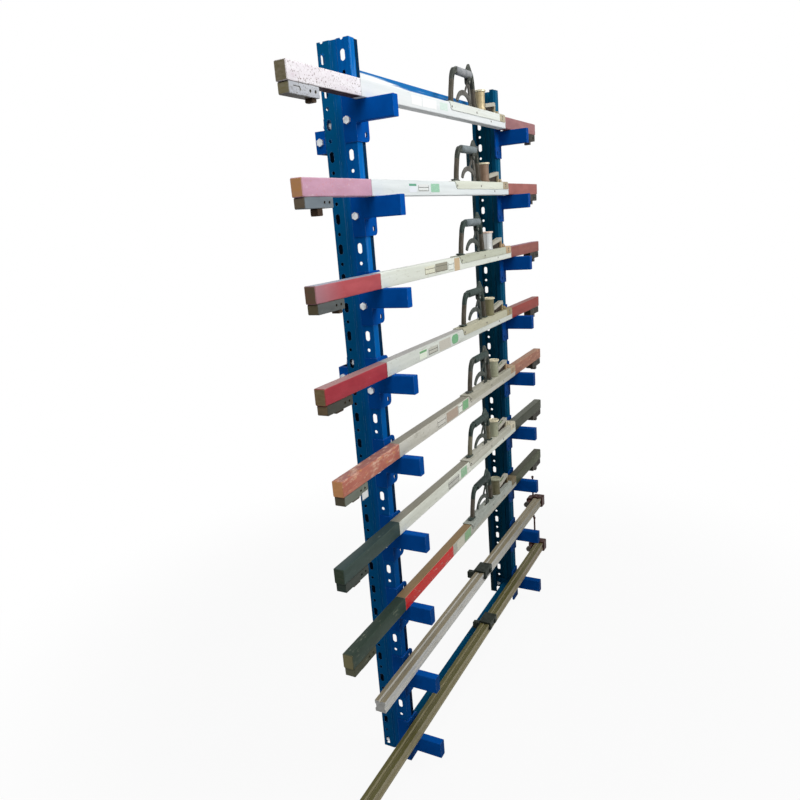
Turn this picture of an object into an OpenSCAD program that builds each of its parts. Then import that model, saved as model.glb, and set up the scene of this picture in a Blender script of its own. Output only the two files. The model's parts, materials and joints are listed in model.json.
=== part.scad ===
// Cantilever rack of two perforated uprights, with seven long bar gauges and two bar clamps lying on
// its arms. The origin is the middle of the four wall fixing holes, on the wall. The arms reach out
// towards -Y, the stored bars lie along X, and Z is up.

/* [Uprights] */
// Height of an upright
upright_h = 2010; // [1500:5:2400]
// Width of the slotted web, front to back
web_w = 90; // [80:1:120]
// Depth of the channel behind the web
channel_d = 46; // [40:1:70]
// Thickness of the steel sheet
sheet = 2; // [1.5:0.1:3]
// Distance over the two webs
span = 1024; // [800:2:1200]
// Width of a channel lip
lip_w = 13; // [8:1:16]
// Width of the shallow groove down the web
groove_w = 22; // [12:1:26]
// Depth of that groove
groove_d = 4; // [2:0.5:5]
// Flat part of the side wall before its step
wall_flat = 25; // [18:1:28]
// Inward step of the side wall
wall_step = 3; // [2:0.5:5]

/* [Hole pattern] */
// Distance from one slot to the next
pattern = 75; // [60:1:90]
// Width of a web slot
slot_w = 13; // [8:0.5:15]
// Height of a web slot
slot_h = 26; // [18:1:32]
// Diameter of the round holes between the slots
round_hole_d = 9; // [6:0.5:11]
// Centre of the front slot column from the web's edge
column_inset = 19.5; // [18:0.5:24]
// Centre of the rear slot column from the web's edge
rear_inset = 13.5; // [13:0.5:24]
// Width of the slots in the rear side wall
rear_slot_w = 11; // [11:0.5:12]
// Distance of the rear wall's holes from the web
rear_slot_x = 17; // [16:0.5:17]

/* [Arms] */
// Number of arms on an upright
arm_count = 9; // [7:1:9]
// Hole pattern steps between two arms
arm_steps = 3; // [3:1:3]
// Top of the upright to the top of the first arm
first_arm = 140; // [120:5:160]
// Width of the arm tube
arm_w = 25; // [20:1:40]
// Height of the arm tube
arm_h = 50; // [40:1:60]
// Reach of an arm from the side wall
arm_reach = 108; // [90:1:160]
// Wall of the arm tube
arm_wall = 2.5; // [1.5:0.5:4]
// Thickness of the arm's bracket plate
plate_t = 4; // [3:0.5:6]
// Height of the bracket
bracket_h = 138; // [120:2:160]
// Width of the bracket's front leg, from the web
bracket_w = 57; // [48:1:70]
// Width of the bracket's side leg, over the web
bracket_side = 32; // [28:1:33]
// Spare bracket holes from the web
tab_hole_x = 40; // [32:1:48]
// Spare bracket holes from the bracket's ends
tab_hole_inset = 17; // [12:1:20]
// Drop of the arm bolt below the arm's top
bolt_drop = 43; // [40:1:46]

/* [Cross beams] */
// Height of a cross beam
cross_h = 34; // [25:1:50]
// Thickness of a cross beam, front to back
cross_d = 25; // [20:1:40]
// Wall of a cross beam
cross_wall = 2; // [1.5:0.5:3]
// Front of the cross beam from the front side wall
cross_inset = 23; // [20:1:30]
// Upright top to the middle of the upper beam
upper_beam = 76; // [74:0.5:80]
// Upright top to the middle of the lower beam
lower_beam = 1980; // [1978:0.5:1984]

/* [Wall ties] */
// Distance of the uprights from the wall
wall_gap = 30; // [28:1:60]
// Hole pattern rows from the upright's top to the upper and the lower wall tie
tie_rows = [3, 11];
// Height of a wall tie
tie_h = 54; // [40:2:70]
// Width of a wall tie's flange on the wall
tie_flange = 84; // [76:2:110]
// Wall hole from the near web
tie_hole_x = 66; // [62:1:70]
// Diameter of the wall hole
tie_hole_d = 11; // [9:0.5:13]
// Width of the strip down the back of an upright
strip_w = 13; // [10:1:16]

/* [Bolts] */
// Bolt diameter
bolt_d = 10; // [8:1:10]
// Width of a bolt head across its flats
bolt_af = 17; // [14:0.5:18]
// Height of a bolt head
bolt_head = 6.4; // [5:0.2:8]
// Radial clearance of a bolt in its hole
bolt_play = 0.5; // [0.3:0.1:0.7]
// Diameter of the bolts in the cross beams and in the rear walls
small_bolt_d = 8; // [6:0.5:8]
// Width of their heads across the flats
small_bolt_af = 13; // [10:0.5:13]

/* [Bar gauges] */
// Length of a bar gauge
gauge_l = 1600; // [1560:5:1650]
// Width of the bar, front to back
bar_w = 30; // [26:1:40]
// Height of the bar
bar_h = 40; // [36:1:50]
// Wall of the aluminium bar
bar_wall = 2.5; // [2:0.5:4]
// Length of the painted block at the near end
near_block = 285; // [260:5:300]
// Length of the painted block at the far end
far_block = 340; // [320:5:360]
// How far a block's spigot goes into the bar
spigot = 60; // [30:5:80]
// Length of a foot under the bar's end
foot_l = 108; // [95:1:120]
// Height of a foot
foot_h = 24; // [18:1:30]
// Height of the sliding stop under the far foot
peg_h = 14; // [8:1:20]
// Heights of the fixed stops under the seven near feet
near_stop_h = [8, 16, 15, 9, 9, 13, 9];
// Rounding of the blocks' long edges
block_r = 3; // [1:0.5:4]
// Gap round loose pieces that seat on each other
seat_gap = 0.1; // [0.05:0.05:0.2]

/* [Gauge handle] */
// Length of the saddle that carries the handle
saddle_l = 417; // [410:1:425]
// How far the saddle comes down over the bar
saddle_drop = 21; // [14:1:28]
// Wall of the saddle
saddle_t = 2.5; // [2:0.5:4]
// Saddle's start from the near end
saddle_x = 782; // [776:1:790]
// Height of the grip's middle above the bar
grip_rise = 100; // [96:1:110]
// Diameter of the grip
grip_d = 24; // [20:0.5:26]
// Thickness of the handle casting
cast_t = 12; // [11:0.5:16]
// Thickness of the trigger
trigger_t = 6; // [4:0.5:7]
// Swing of the trigger in degrees
trigger_swing = 12; // [8:0.5:12]
// Diameter of the trigger's pin
pin_d = 6; // [5:0.5:7]
// Diameter of the adjusting drum
drum_d = 34; // [30:1:36]
// Diameter of the drum's flange
flange_d = 41; // [37:1:44]
// Height of the drum
drum_h = 62; // [50:1:65]
// Radial clearance of pins and shafts that turn
run_fit = 0.05; // [0.02:0.01:0.08]
// Gap between pieces that move past each other
move_gap = 0.3; // [0.3:0.05:0.6]

/* [Bar clamps] */
// Length of a clamp rail, upper and lower clamp
rail_l = [1490, 1630];
// Width of a rail
rail_w = 32; // [26:1:40]
// Height of a rail
rail_h = 34; // [28:1:42]
// Depth of the grooves along a rail
rail_groove = 3; // [2:0.5:4]
// Length of the sliding jaw along the rail
jaw_l = 66; // [50:1:80]
// Wall of the jaw
jaw_t = 7; // [5:0.5:9]
// Distance of the screw behind the rail
screw_offset = 20; // [20:0.5:26]
// Diameter of the screw
screw_d = 12; // [10:1:14]
// Length of the tommy bar
tommy_l = 206; // [150:2:206]
// Diameter of the tommy bar
tommy_d = 8; // [6:0.5:9]
// Travel of the screw
screw_travel = 30; // [20:1:30]

/* [Where the bars lie] */
// Near ends of the seven gauges, from the near web
gauge_near = [-308, -302, -296, -311, -295, -302, -315];
// Fronts of the seven gauges at the near upright, from its front wall
gauge_front = [-37.5, -40.5, -41, -46.5, -54, -39, -45];
// Turn of each gauge on its arms, in degrees
gauge_turn = [-0.7, -0.55, -0.5, -0.2, 0.3, -0.3, 0.1];
// Far ends of the two rails, from the near web
rail_far = [1306, 1320];
// Fronts of the two rails, from the front wall
rail_front = [-43, -42];
// Middles of the two sliding jaws, from the near web
jaw_at = [589, 615];
// Shift of the two tommy bars up through their screws
tommy_shift = [0, 16];

/* [Hidden] */
$fn = 48;

arm_pitch = arm_steps * pattern;
tie_mid = pattern * (tie_rows[0] + tie_rows[1]) / 2;
tie_bolt_y = web_w + wall_gap / 2;
rear_y = web_w - rear_inset;
lower_hole = -(26.5 * pattern);
end_t = 3;
small_bolt_head = 5.3;
BLUE = "#1450a0";
ROYAL = "#1146a8";
DULL_RED = "#a8504c";
CREAM = "#d8d6c4";
CAST = "#5a5852";

// Places its children from the near upright's web, the front side wall and the uprights' top.
module from_corner() {
  translate([-tie_hole_x - (span - plate_t) / 2, -wall_gap - web_w, tie_mid]) children();
}

// The far upright and all that hangs on it is the near one's mirror image.
module at_far() {
  translate([span, 0, 0]) mirror([1, 0, 0]) children();
}

function arm_top(k) = -first_arm - k * arm_pitch;
function arc_points(c, r, from, to, n) = [for (i = [0:n])
  let (a = from + (to - from) * i / n) c + r * [cos(a), sin(a)]];
function rounded_box(a, b, r, n = 4) = concat(
  arc_points([b[0] - r, b[1] - r], r, 0, 90, n), arc_points([a[0] + r, b[1] - r], r, 90, 180, n),
  arc_points([a[0] + r, a[1] + r], r, 180, 270, n), arc_points([b[0] - r, a[1] + r], r, 270, 360, n));
function side_of(path, i) = let (a = path[max(i - 1, 0)], b = path[min(i + 1, len(path) - 1)], d = b - a)
  [-d[1], d[0]] / norm(d);
function ribbon(path, half) = concat(
  [for (i = [0:len(path) - 1]) path[i] + half[i] * side_of(path, i)],
  [for (i = [len(path) - 1:-1:0]) path[i] - half[i] * side_of(path, i)]);

// Extrudes an outline drawn in X and Z over a stretch of Y.
module slab(y, t) {
  translate([0, y + t, 0]) rotate([90, 0, 0]) linear_extrude(t) children();
}

// Extrudes an outline drawn in Y and Z over a stretch of X.
module run(x, l) {
  translate([x, 0, 0]) rotate([90, 0, 90]) linear_extrude(l) children();
}

module x_hole(x, y, z, d, l) {
  translate([x, y, z]) rotate([0, 90, 0]) cylinder(d = d, h = l);
}

module y_hole(x, y, z, d, l) {
  translate([x, y + l, z]) rotate([90, 0, 0]) cylinder(d = d, h = l);
}

// A slot with round ends through a wall that faces X.
module web_slot(y, z, w, h, x, l) {
  translate([x, y - w / 2, z - h / 2 + w / 2]) cube([l, w, h - w]);
  for (s = [-1, 1]) x_hole(x, y, z + s * (h - w) / 2, w, l);
}

// The same through a wall that faces Y.
module wall_slot(x, z, w, h, y, l) {
  translate([x - w / 2, y, z - h / 2 + w / 2]) cube([w, l, h - w]);
  for (s = [-1, 1]) y_hole(x, y, z + s * (h - w) / 2, w, l);
}

// One wall of the channel, from the web's edge round to its lip, as outer and inner points.
function wall_outer() = [[0, 0], [wall_flat, 0], [wall_flat + wall_step, wall_step], [channel_d, wall_step],
  [channel_d, wall_step + lip_w]];
function wall_inner() = [[channel_d - sheet, wall_step + lip_w], [channel_d - sheet, wall_step + sheet],
  [wall_flat + wall_step - sheet * tan(22.5), wall_step + sheet], [wall_flat - sheet * tan(22.5), sheet],
  [sheet, sheet]];
function flipped(points) = [for (i = [len(points) - 1:-1:0]) [points[i][0], web_w - points[i][1]]];
function groove(x) = let (a = (web_w - groove_w) / 2, b = (web_w + groove_w) / 2)
  [[x, b], [x + groove_d, b - groove_d], [x + groove_d, a + groove_d], [x, a]];

module upright() {
  slots = [for (z = [pattern / 2:pattern:upright_h - slot_h / 2 - 2]) -z];
  holes = [for (z = [0:pattern:upright_h - round_hole_d]) -z];
  color(BLUE) difference() {
    translate([0, 0, -upright_h]) linear_extrude(upright_h) difference() {
      polygon(concat(wall_outer(), wall_inner(), groove_line(), flipped(wall_inner()), flipped(wall_outer()),
        groove(0)));
    }
    for (y = [column_inset, rear_y]) {
      for (z = slots) web_slot(y, z, slot_w, slot_h, -1, sheet + 2);
      for (z = holes) x_hole(-1, y, z, round_hole_d, sheet + 2);
    }
    for (z = slots) wall_slot(rear_slot_x, z, rear_slot_w, slot_h, web_w - sheet - 1, sheet + 2);
    for (z = holes) y_hole(rear_slot_x, web_w - sheet - 1, z, round_hole_d, sheet + 2);
  }
}
function groove_line() = [for (i = [3:-1:0]) groove(sheet)[i]];

// An arm is a closed tube welded to a folded bracket that wraps the upright's front corner.
module arm(k) {
  top = arm_top(k);
  mid = top - arm_h / 2;
  low = mid - bracket_h / 2;
  corner = 13;
  spare_hole = [9, 14];
  drain_d = 6;
  difference() {
    union() {
      slab(-plate_t, plate_t) polygon(concat([[-plate_t, low]],
        arc_points([bracket_w - corner, low + corner], corner, -90, 0, 4),
        arc_points([bracket_w - corner, low + bracket_h - corner], corner, 0, 90, 4),
        [[-plate_t, low + bracket_h]]));
      translate([-plate_t, -plate_t, low]) cube([plate_t, bracket_side + plate_t, bracket_h]);
      slab(-arm_reach, arm_reach - plate_t)
        polygon(rounded_box([-plate_t, top - arm_h], [arm_w - plate_t, top], 3));
    }
    slab(-arm_reach + arm_wall, arm_reach - plate_t - arm_wall) polygon(rounded_box(
      [arm_wall - plate_t, top - arm_h + arm_wall], [arm_w - plate_t - arm_wall, top - arm_wall], 1));
    translate([arm_w / 2 - plate_t, -plate_t - 9, top - arm_h - 1]) cylinder(d = drain_d, h = arm_wall + 2);
    for (z = [low + tab_hole_inset, low + bracket_h - tab_hole_inset])
      wall_slot(tab_hole_x, z, spare_hole[0], spare_hole[1], -plate_t - 1, plate_t + 2);
    x_hole(-plate_t - 1, column_inset, top - bolt_drop, bolt_d + 2 * bolt_play, plate_t + 2);
  }
}

module arms() {
  color(ROYAL) for (k = [0:arm_count - 1]) arm(k);
}

// A cross beam is a tube with an end plate welded on, bolted inside each web at the given drop. Its front
// corners are notched for the nuts of the arms' bolts.
module cross_beam(drop, hole) {
  end_x = sheet + groove_d;
  notch = [12, column_inset + bolt_af / 2 / cos(30) + 1];
  plate_w = rear_y + small_bolt_d - notch[1];
  low = -drop - cross_h / 2;
  color(BLUE) difference() {
    union() {
      run(end_x, span - 2 * end_x) polygon(rounded_box([cross_inset, low],
        [cross_inset + cross_d, low + cross_h], 2.5));
      for (x = [end_x, span - end_x - end_t])
        translate([x, notch[1], low]) cube([end_t, plate_w, cross_h]);
    }
    run(end_x + end_t, span - 2 * (end_x + end_t)) polygon(rounded_box(
      [cross_inset + cross_wall, low + cross_wall],
      [cross_inset + cross_d - cross_wall, low + cross_h - cross_wall], 1));
    for (x = [sheet, span - sheet - notch[0]])
      translate([x, 0, low - 1]) cube([notch[0], notch[1], cross_h + 2]);
    for (x = [sheet, span - end_x - end_t - 1])
      x_hole(x, rear_y, -hole, small_bolt_d + 2 * bolt_play, groove_d + end_t + 1);
  }
}

// A wall tie's inner angle is bolted to the upright's rear wall, through its slot above the tie.
module tie_inner(z) {
  leg_w = channel_d - 2 * (plate_t + seat_gap);
  foot = z - tie_h / 2;
  difference() {
    union() {
      translate([plate_t + seat_gap, web_w, foot]) cube([leg_w, plate_t, (tie_h + pattern) / 2 + 16]);
      translate([plate_t + seat_gap, web_w, foot]) cube([plate_t, wall_gap - plate_t - 1, tie_h]);
    }
    y_hole(rear_slot_x, web_w - 1, z + pattern / 2, small_bolt_d + 2 * bolt_play, plate_t + 2);
    x_hole(plate_t - 1, tie_bolt_y, z, bolt_d + 2 * bolt_play, plate_t + 2);
  }
}

// Its outer angle laps the inner one and is screwed to the building's wall.
module tie_outer(z) {
  foot = z - tie_h / 2;
  difference() {
    union() {
      translate([0, web_w + 1, foot]) cube([plate_t, wall_gap - 1, tie_h]);
      translate([0, web_w + wall_gap - plate_t, foot]) cube([tie_flange, plate_t, tie_h]);
    }
    x_hole(-1, tie_bolt_y, z, bolt_d + 2 * bolt_play, plate_t + 2);
    y_hole(tie_hole_x, web_w + wall_gap - plate_t - 1, z, tie_hole_d, plate_t + 2);
  }
}

// A strip welded down the back of an upright, with a tab to the wall at the upper tie.
module back_strip() {
  back = web_w - wall_step;
  top = -tie_rows[0] * pattern + tie_h / 2;
  reach = web_w + wall_gap - plate_t - seat_gap;
  run(channel_d - plate_t + seat_gap, plate_t - seat_gap) polygon([[back, -upright_h],
    [back + strip_w, -upright_h], [back + strip_w, top - tie_h], [reach, top - tie_h], [reach, top],
    [back, top]]);
}

module ties() {
  color(BLUE) {
    back_strip();
    at_far() back_strip();
    for (row = tie_rows) {
      tie_inner(-row * pattern);
      at_far() tie_inner(-row * pattern);
      for (x = [0, span - plate_t]) translate([x, 0, 0]) tie_outer(-row * pattern);
    }
  }
}

// A hexagon bolt with its head towards -X at x = 0, and the nut on the far side of what it grips.
module bolt(grip, d = bolt_d, af = bolt_af, head = bolt_head) {
  nut_h = 0.8 * d;
  rotate([0, -90, 0]) cylinder(d = af / cos(30), h = head, $fn = 6);
  rotate([0, 90, 0]) cylinder(d = d, h = grip + nut_h + 2);
  difference() {
    translate([grip, 0, 0]) rotate([0, 90, 0]) cylinder(d = af / cos(30), h = nut_h, $fn = 6);
    translate([grip - 1, 0, 0]) rotate([0, 90, 0]) cylinder(d = d + 2 * run_fit, h = nut_h + 2);
  }
}

// A screw from inside a cross beam's end plate into the lock nut behind the web.
module beam_bolt() {
  beam_grip = sheet + groove_d + end_t;
  translate([beam_grip, 0, 0]) {
    rotate([0, 90, 0]) cylinder(d = small_bolt_af / cos(30), h = small_bolt_head, $fn = 6);
    rotate([0, -90, 0]) cylinder(d = small_bolt_d, h = beam_grip - 0.5);
  }
  difference() {
    x_hole(sheet, 0, 0, small_bolt_d + 5, groove_d);
    x_hole(sheet - 1, 0, 0, small_bolt_d + 2 * run_fit, groove_d + 2);
  }
}

module side_bolts() {
  for (k = [0:arm_count - 1])
    translate([-plate_t, column_inset, arm_top(k) - bolt_drop]) bolt(plate_t + sheet);
  for (row = tie_rows) {
    translate([0, tie_bolt_y, -row * pattern]) bolt(2 * plate_t + seat_gap);
    translate([rear_slot_x, web_w - sheet, pattern / 2 - row * pattern]) rotate([0, 0, 90]) rotate([30, 0, 0])
      bolt(sheet + plate_t, small_bolt_d, small_bolt_af, small_bolt_head);
  }
  for (z = [-pattern, lower_hole]) translate([0, rear_y, z]) beam_bolt();
}

module frame_bolts() {
  color("silver") {
    side_bolts();
    at_far() side_bolts();
  }
}

// The gauges. A gauge is drawn from its near end, with its middle plane at y = 0 and its underside at z = 0.
grip_x = [saddle_x + 90, saddle_x + 214];
pivot = [saddle_x + 185, bar_h + grip_rise - 22];
drum_x = saddle_x + 281;
tube_x = [near_block, gauge_l - far_block];
grip_z = bar_h + grip_rise;
saddle_top = bar_h + saddle_t;
rod_z = bar_h / 2;
rod_d = 8;
feeler_x = gauge_l - 54;
tread_z = bar_h - bar_wall - 9;
lever = pivot[1] - tread_z;
feeler_travel = lever * trigger_swing * PI / 180;
foot_slot = [pivot[0] - 23, pivot[0] + 23];
foot_inset = 4;
foot_hole_d = 7;
peg_w = 20;
near_stop_l = 32;
stop_w = 14;
stem = 16;

module place_gauge(i) {
  from_corner() translate([0, gauge_front[i], arm_top(i)]) rotate([0, 0, gauge_turn[i]])
    translate([gauge_near[i], bar_w / 2, 0]) children();
}

// What sits over the bar's top and sides, with its top edges cut away by the given bevel.
module over_bar(x, l, top, bevel) {
  y = bar_w / 2 + saddle_t;
  in_y = bar_w / 2 + seat_gap;
  low = bar_h - saddle_drop;
  in_z = bar_h + seat_gap;
  run(x, l) polygon([[-y, low], [-in_y, low], [-in_y, in_z], [in_y, in_z], [in_y, low], [y, low],
    [y, top - bevel], [y - bevel, top], [bevel - y, top], [-y, top - bevel]]);
}

// The aluminium tube, the saddle over it, its end block and the level's bracket with its glass tube.
module gauge_bar() {
  y_out = bar_w / 2 + saddle_t + 1;
  saddle_end = saddle_x + saddle_l;
  low = bar_h - saddle_drop;
  level_w = 15;
  level_x = [drum_x + 30, drum_x + 112, drum_x + 123];
  level_z = [saddle_top + 12, saddle_top + 23.5, saddle_top + 36];
  tongue_t = 3;
  vial = [level_x[0] + 12, 0, level_z[0] + 8];
  vial_d = 8.6;
  vial_l = 52;
  tilt = atan((level_z[1] - level_z[0]) / (level_x[1] - level_x[0]));
  color("gainsboro") difference() {
    run(tube_x[0], tube_x[1] - tube_x[0]) polygon(rounded_box([-bar_w / 2, 0], [bar_w / 2, bar_h], 1.5));
    run(tube_x[0] - 1, tube_x[1] - tube_x[0] + 2) polygon(rounded_box([-bar_w / 2 + bar_wall, bar_wall],
      [bar_w / 2 - bar_wall, bar_h - bar_wall], 0.8));
    translate([foot_slot[0], -trigger_t / 2 - 1, bar_h - bar_wall - 1]) cube([foot_slot[1] - foot_slot[0],
      trigger_t + 2, bar_wall + 2]);
    translate([drum_x, 0, bar_h - bar_wall - 1]) cylinder(d = rod_d + 2 * run_fit, h = bar_wall + 2);
  }
  color(CREAM) difference() {
    over_bar(saddle_x, saddle_l, saddle_top, 1);
    slab(-y_out, 2 * y_out) polygon([[saddle_x - 1, low - 1], [saddle_x + 20, low - 1],
      [saddle_x + 12, low + 9], [saddle_x + 7, bar_h - 2], [saddle_x - 1, bar_h - 1]]);
    translate([foot_slot[0], -trigger_t / 2 - 1, bar_h - 1]) cube([foot_slot[1] - foot_slot[0], trigger_t + 2,
      saddle_t + 2]);
    translate([drum_x, 0, bar_h - 1]) cylinder(d = rod_d + 2 * run_fit, h = saddle_t + 2);
  }
  color("tan") union() {
    over_bar(saddle_end + seat_gap, tube_x[1] - saddle_end - 8, saddle_top + 2, 3);
    translate([saddle_end + 14, 0, saddle_top + 1]) cylinder(d = 14, h = 11);
  }
  color("ivory") difference() {
    union() {
      slab(-level_w / 2, level_w) polygon([[level_x[0], level_z[0]], [level_x[1], level_z[1]],
        [level_x[1], saddle_top + seat_gap], [level_x[2], saddle_top + seat_gap],
        [level_x[2], level_z[2] - 4], [level_x[2] - 4, level_z[2]], [level_x[1] - 3, level_z[2]],
        [level_x[0], level_z[0] + 12]]);
      slab(-tongue_t / 2, tongue_t) polygon([[level_x[0] + 20, level_z[0] + 4],
        [level_x[0] + 14, saddle_top + 4], [level_x[0] + 20, saddle_top + seat_gap],
        [level_x[1] + 2, saddle_top + seat_gap], [level_x[1] + 2, level_z[1]]]);
    }
    translate(vial) rotate([0, 90 - tilt, 0]) translate([0, 0, -20]) cylinder(d = vial_d, h = vial_l + 22);
  }
  color("palegreen") translate(vial) rotate([0, 90 - tilt, 0])
    cylinder(d = vial_d - 2 * seat_gap, h = vial_l);
}

// The painted blocks at both ends, with the feet under them and the fixed stop under the near foot.
module gauge_end_blocks(i) {
  fit = 2 * seat_gap;
  window_x = feeler_x - stem / 2 - 2 - feeler_travel;
  window_l = stem + 4 + feeler_travel;
  half = bar_w / 2 - bar_wall - fit;
  color(DULL_RED) {
    run(0, near_block) polygon(rounded_box([-bar_w / 2, 0], [bar_w / 2, bar_h], block_r));
    run(near_block, spigot) polygon(rounded_box([-half, bar_wall + fit], [half, bar_h - bar_wall - fit], 1));
  }
  color(DULL_RED) difference() {
    union() {
      run(tube_x[1], far_block) polygon(rounded_box([-bar_w / 2, 0], [bar_w / 2, bar_h], block_r));
      run(tube_x[1] - spigot, spigot)
        polygon(rounded_box([-half, bar_wall + fit], [half, bar_h - bar_wall - fit], 1));
    }
    x_hole(tube_x[1] - spigot - 1, 0, rod_z, rod_d + 2 * move_gap, feeler_x + 4 - tube_x[1] + spigot);
    translate([window_x, -stop_w / 2, -1]) cube([window_l, stop_w, rod_z + rod_d / 2 + 3]);
  }
  color("gray") difference() {
    union() {
      run(foot_inset, foot_l)
        polygon(rounded_box([1 - bar_w / 2, -foot_h], [bar_w / 2 - 1, -seat_gap], 1.5));
      translate([foot_inset + 40, -peg_w / 2, -foot_h - near_stop_h[i]])
        cube([near_stop_l, peg_w, near_stop_h[i]]);
    }
    for (x = [foot_inset + 74, foot_inset + 93])
      y_hole(x, -bar_w / 2 - 1, -foot_h / 2, foot_hole_d, bar_w + 2);
  }
  color("gray") difference() {
    run(gauge_l - foot_l - foot_inset, foot_l)
      polygon(rounded_box([1 - bar_w / 2, -foot_h], [bar_w / 2 - 1, -seat_gap], 1.5));
    for (x = [foot_inset + 10, foot_inset + 30])
      y_hole(gauge_l - x, -bar_w / 2 - 1, -foot_h / 2, foot_hole_d, bar_w + 2);
    translate([window_x, -stop_w / 2, -foot_h - 1]) cube([window_l, stop_w, foot_h + 2]);
  }
}

// The cast handle with two posts, a fin, cheeks for the trigger, the sleeve round its grip, and the
// trigger's pin.
module gauge_handle() {
  s = saddle_x;
  bow = [[s + 47, saddle_top], [s + 51, saddle_top + 30], [s + 58, grip_z - 40], [s + 64, grip_z - 20],
    [s + 74, grip_z - 6], [grip_x[0], grip_z], [s + 148, grip_z + 1], [s + 198, grip_z - 1],
    [grip_x[1], grip_z - 8], [s + 221, grip_z - 28], [s + 225, grip_z - 60], [s + 232, saddle_top]];
  widths = [7, 6, 6, 7, 8, 8, 8, 9, 9, 7, 6, 7];
  fin_t = 6;
  cheek_t = 4;
  color(CAST) difference() {
    union() {
      slab(-cast_t / 2, cast_t) polygon(ribbon(bow, widths));
      slab(-fin_t / 2, fin_t) polygon([[s + 172, grip_z], [s + 177, grip_z + 14], [s + 185, grip_z + 24],
        [s + 192, grip_z + 31], [s + 199, grip_z + 32], [s + 206, grip_z + 26], [s + 216, grip_z + 14],
        [s + 227, grip_z + 5], [s + 231, grip_z - 8], [s + 224, grip_z - 20], [s + 200, grip_z - 8]]);
      slab(-cast_t / 2 - 2, cast_t + 4) polygon([[s + 20, saddle_top + 5], [s + 32, saddle_top + 1],
        [s + 36, saddle_top], [s + 59, saddle_top], [s + 59, saddle_top + 4], [s + 38, saddle_top + 5],
        [s + 30, saddle_top + 7]]);
      translate([s + 221, -cast_t / 2 - 2, saddle_top]) cube([22, cast_t + 4, 4]);
      for (y = [-trigger_t / 2 - move_gap - cheek_t, trigger_t / 2 + move_gap]) slab(y, cheek_t)
        polygon(concat([[pivot[0] + 14, grip_z - 4], [pivot[0] - 9, grip_z - 4]],
        arc_points(pivot, 8, 190, 350, 8)));
    }
    y_hole(pivot[0], -cast_t / 2 - 3, pivot[1], pin_d, cast_t + 6);
    slab(-trigger_t / 2 - move_gap, trigger_t + 2 * move_gap) polygon(arc_points(pivot, 9.5, 0, 345, 23));
    translate([s, -cast_t, saddle_top - cast_t]) cube([saddle_l, 2 * cast_t, cast_t]);
  }
  color("lightslategray") x_hole(grip_x[0] + 6, 0, grip_z, grip_d, grip_x[1] - grip_x[0] - 12);
  color("silver") y_hole(pivot[0], -trigger_t / 2 - move_gap - cheek_t, pivot[1], pin_d,
    trigger_t + 2 * (move_gap + cheek_t));
}

// The squeeze trigger: an eye on the pin, a leg down into the bar, a finger hook and a thin brace.
module gauge_trigger() {
  arch = [pivot[0] - 39, saddle_top + 2];
  arch_size = [52, 38];
  arch_w = 5.5;
  leg = [pivot + [1, -2], pivot + [7, -20], pivot + [11, -44], [pivot[0] + 10, saddle_top + 14],
    [pivot[0] + 6, bar_h], [pivot[0] + 5, tread_z]];
  path = [for (a = [0:11:165]) arch + [arch_size[0] * cos(a), arch_size[1] * sin(a)]];
  color(CAST) difference() {
    union() {
      slab(-trigger_t / 2, trigger_t) polygon(ribbon(leg, [5, 5, 6, 6, 5, 5]));
      slab(-trigger_t / 2, trigger_t)
        polygon(ribbon([pivot + [-3, -3], arch + [10, arch_size[1]]], [2, 2.5]));
      slab(-trigger_t / 2, trigger_t) polygon(ribbon(path, [for (p = path) arch_w]));
      y_hole(pivot[0], -trigger_t / 2, pivot[1], 16, trigger_t);
    }
    y_hole(pivot[0], -trigger_t / 2 - 1, pivot[1], pin_d + 2 * run_fit, trigger_t + 2);
  }
}

// The adjusting drum, turned by hand on its shaft, which a collar holds under the bar's top.
module gauge_drum() {
  base = saddle_top + move_gap;
  color("tan") union() {
    translate([drum_x, 0, base]) cylinder(d = drum_d + 3, h = 5);
    translate([drum_x, 0, base]) cylinder(d = drum_d, h = drum_h);
    translate([drum_x, 0, base + drum_h - 6]) cylinder(d = flange_d, h = 6);
    translate([drum_x, 0, bar_h - bar_wall - 6]) cylinder(d = rod_d, h = saddle_t + bar_wall + 7);
    translate([drum_x, 0, bar_h - bar_wall - 5]) cylinder(d = rod_d + 4, h = 5 - move_gap);
  }
}

// The pull rod inside the bar, with the tab that the trigger pushes and the sliding stop under the far foot.
module gauge_feeler() {
  tab_t = 7;
  tab_x = pivot[0] - move_gap - tab_t;
  color("dimgray") union() {
    x_hole(tab_x, 0, rod_z, rod_d, feeler_x - tab_x);
    translate([tab_x, -6, rod_z - 6]) cube([tab_t, 12, bar_h - bar_wall - move_gap - rod_z + 6]);
    translate([feeler_x - stem / 2, 1 - stop_w / 2, -foot_h - 1])
      cube([stem, stop_w - 2, foot_h + rod_z + rod_d / 2 + 1]);
    translate([feeler_x - stem / 2 - 1, -peg_w / 2, -foot_h - peg_h])
      cube([stem + 2, peg_w, peg_h - move_gap]);
  }
}

// The clamps. A clamp is drawn with its rail's far end at x = 0, its front at y = 0 and its underside at
// z = 0.
function clamp_arm(i) = len(gauge_near) + i;
screw_y = rail_w + screw_offset;
screw_z = rail_h / 2;
head_l = 38;
pad_l = 12;
pad_x = -head_l - screw_travel - 5 - pad_l;

module place_clamp(i) {
  from_corner() translate([rail_far[i], rail_front[i], arm_top(clamp_arm(i))]) children();
}

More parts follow.
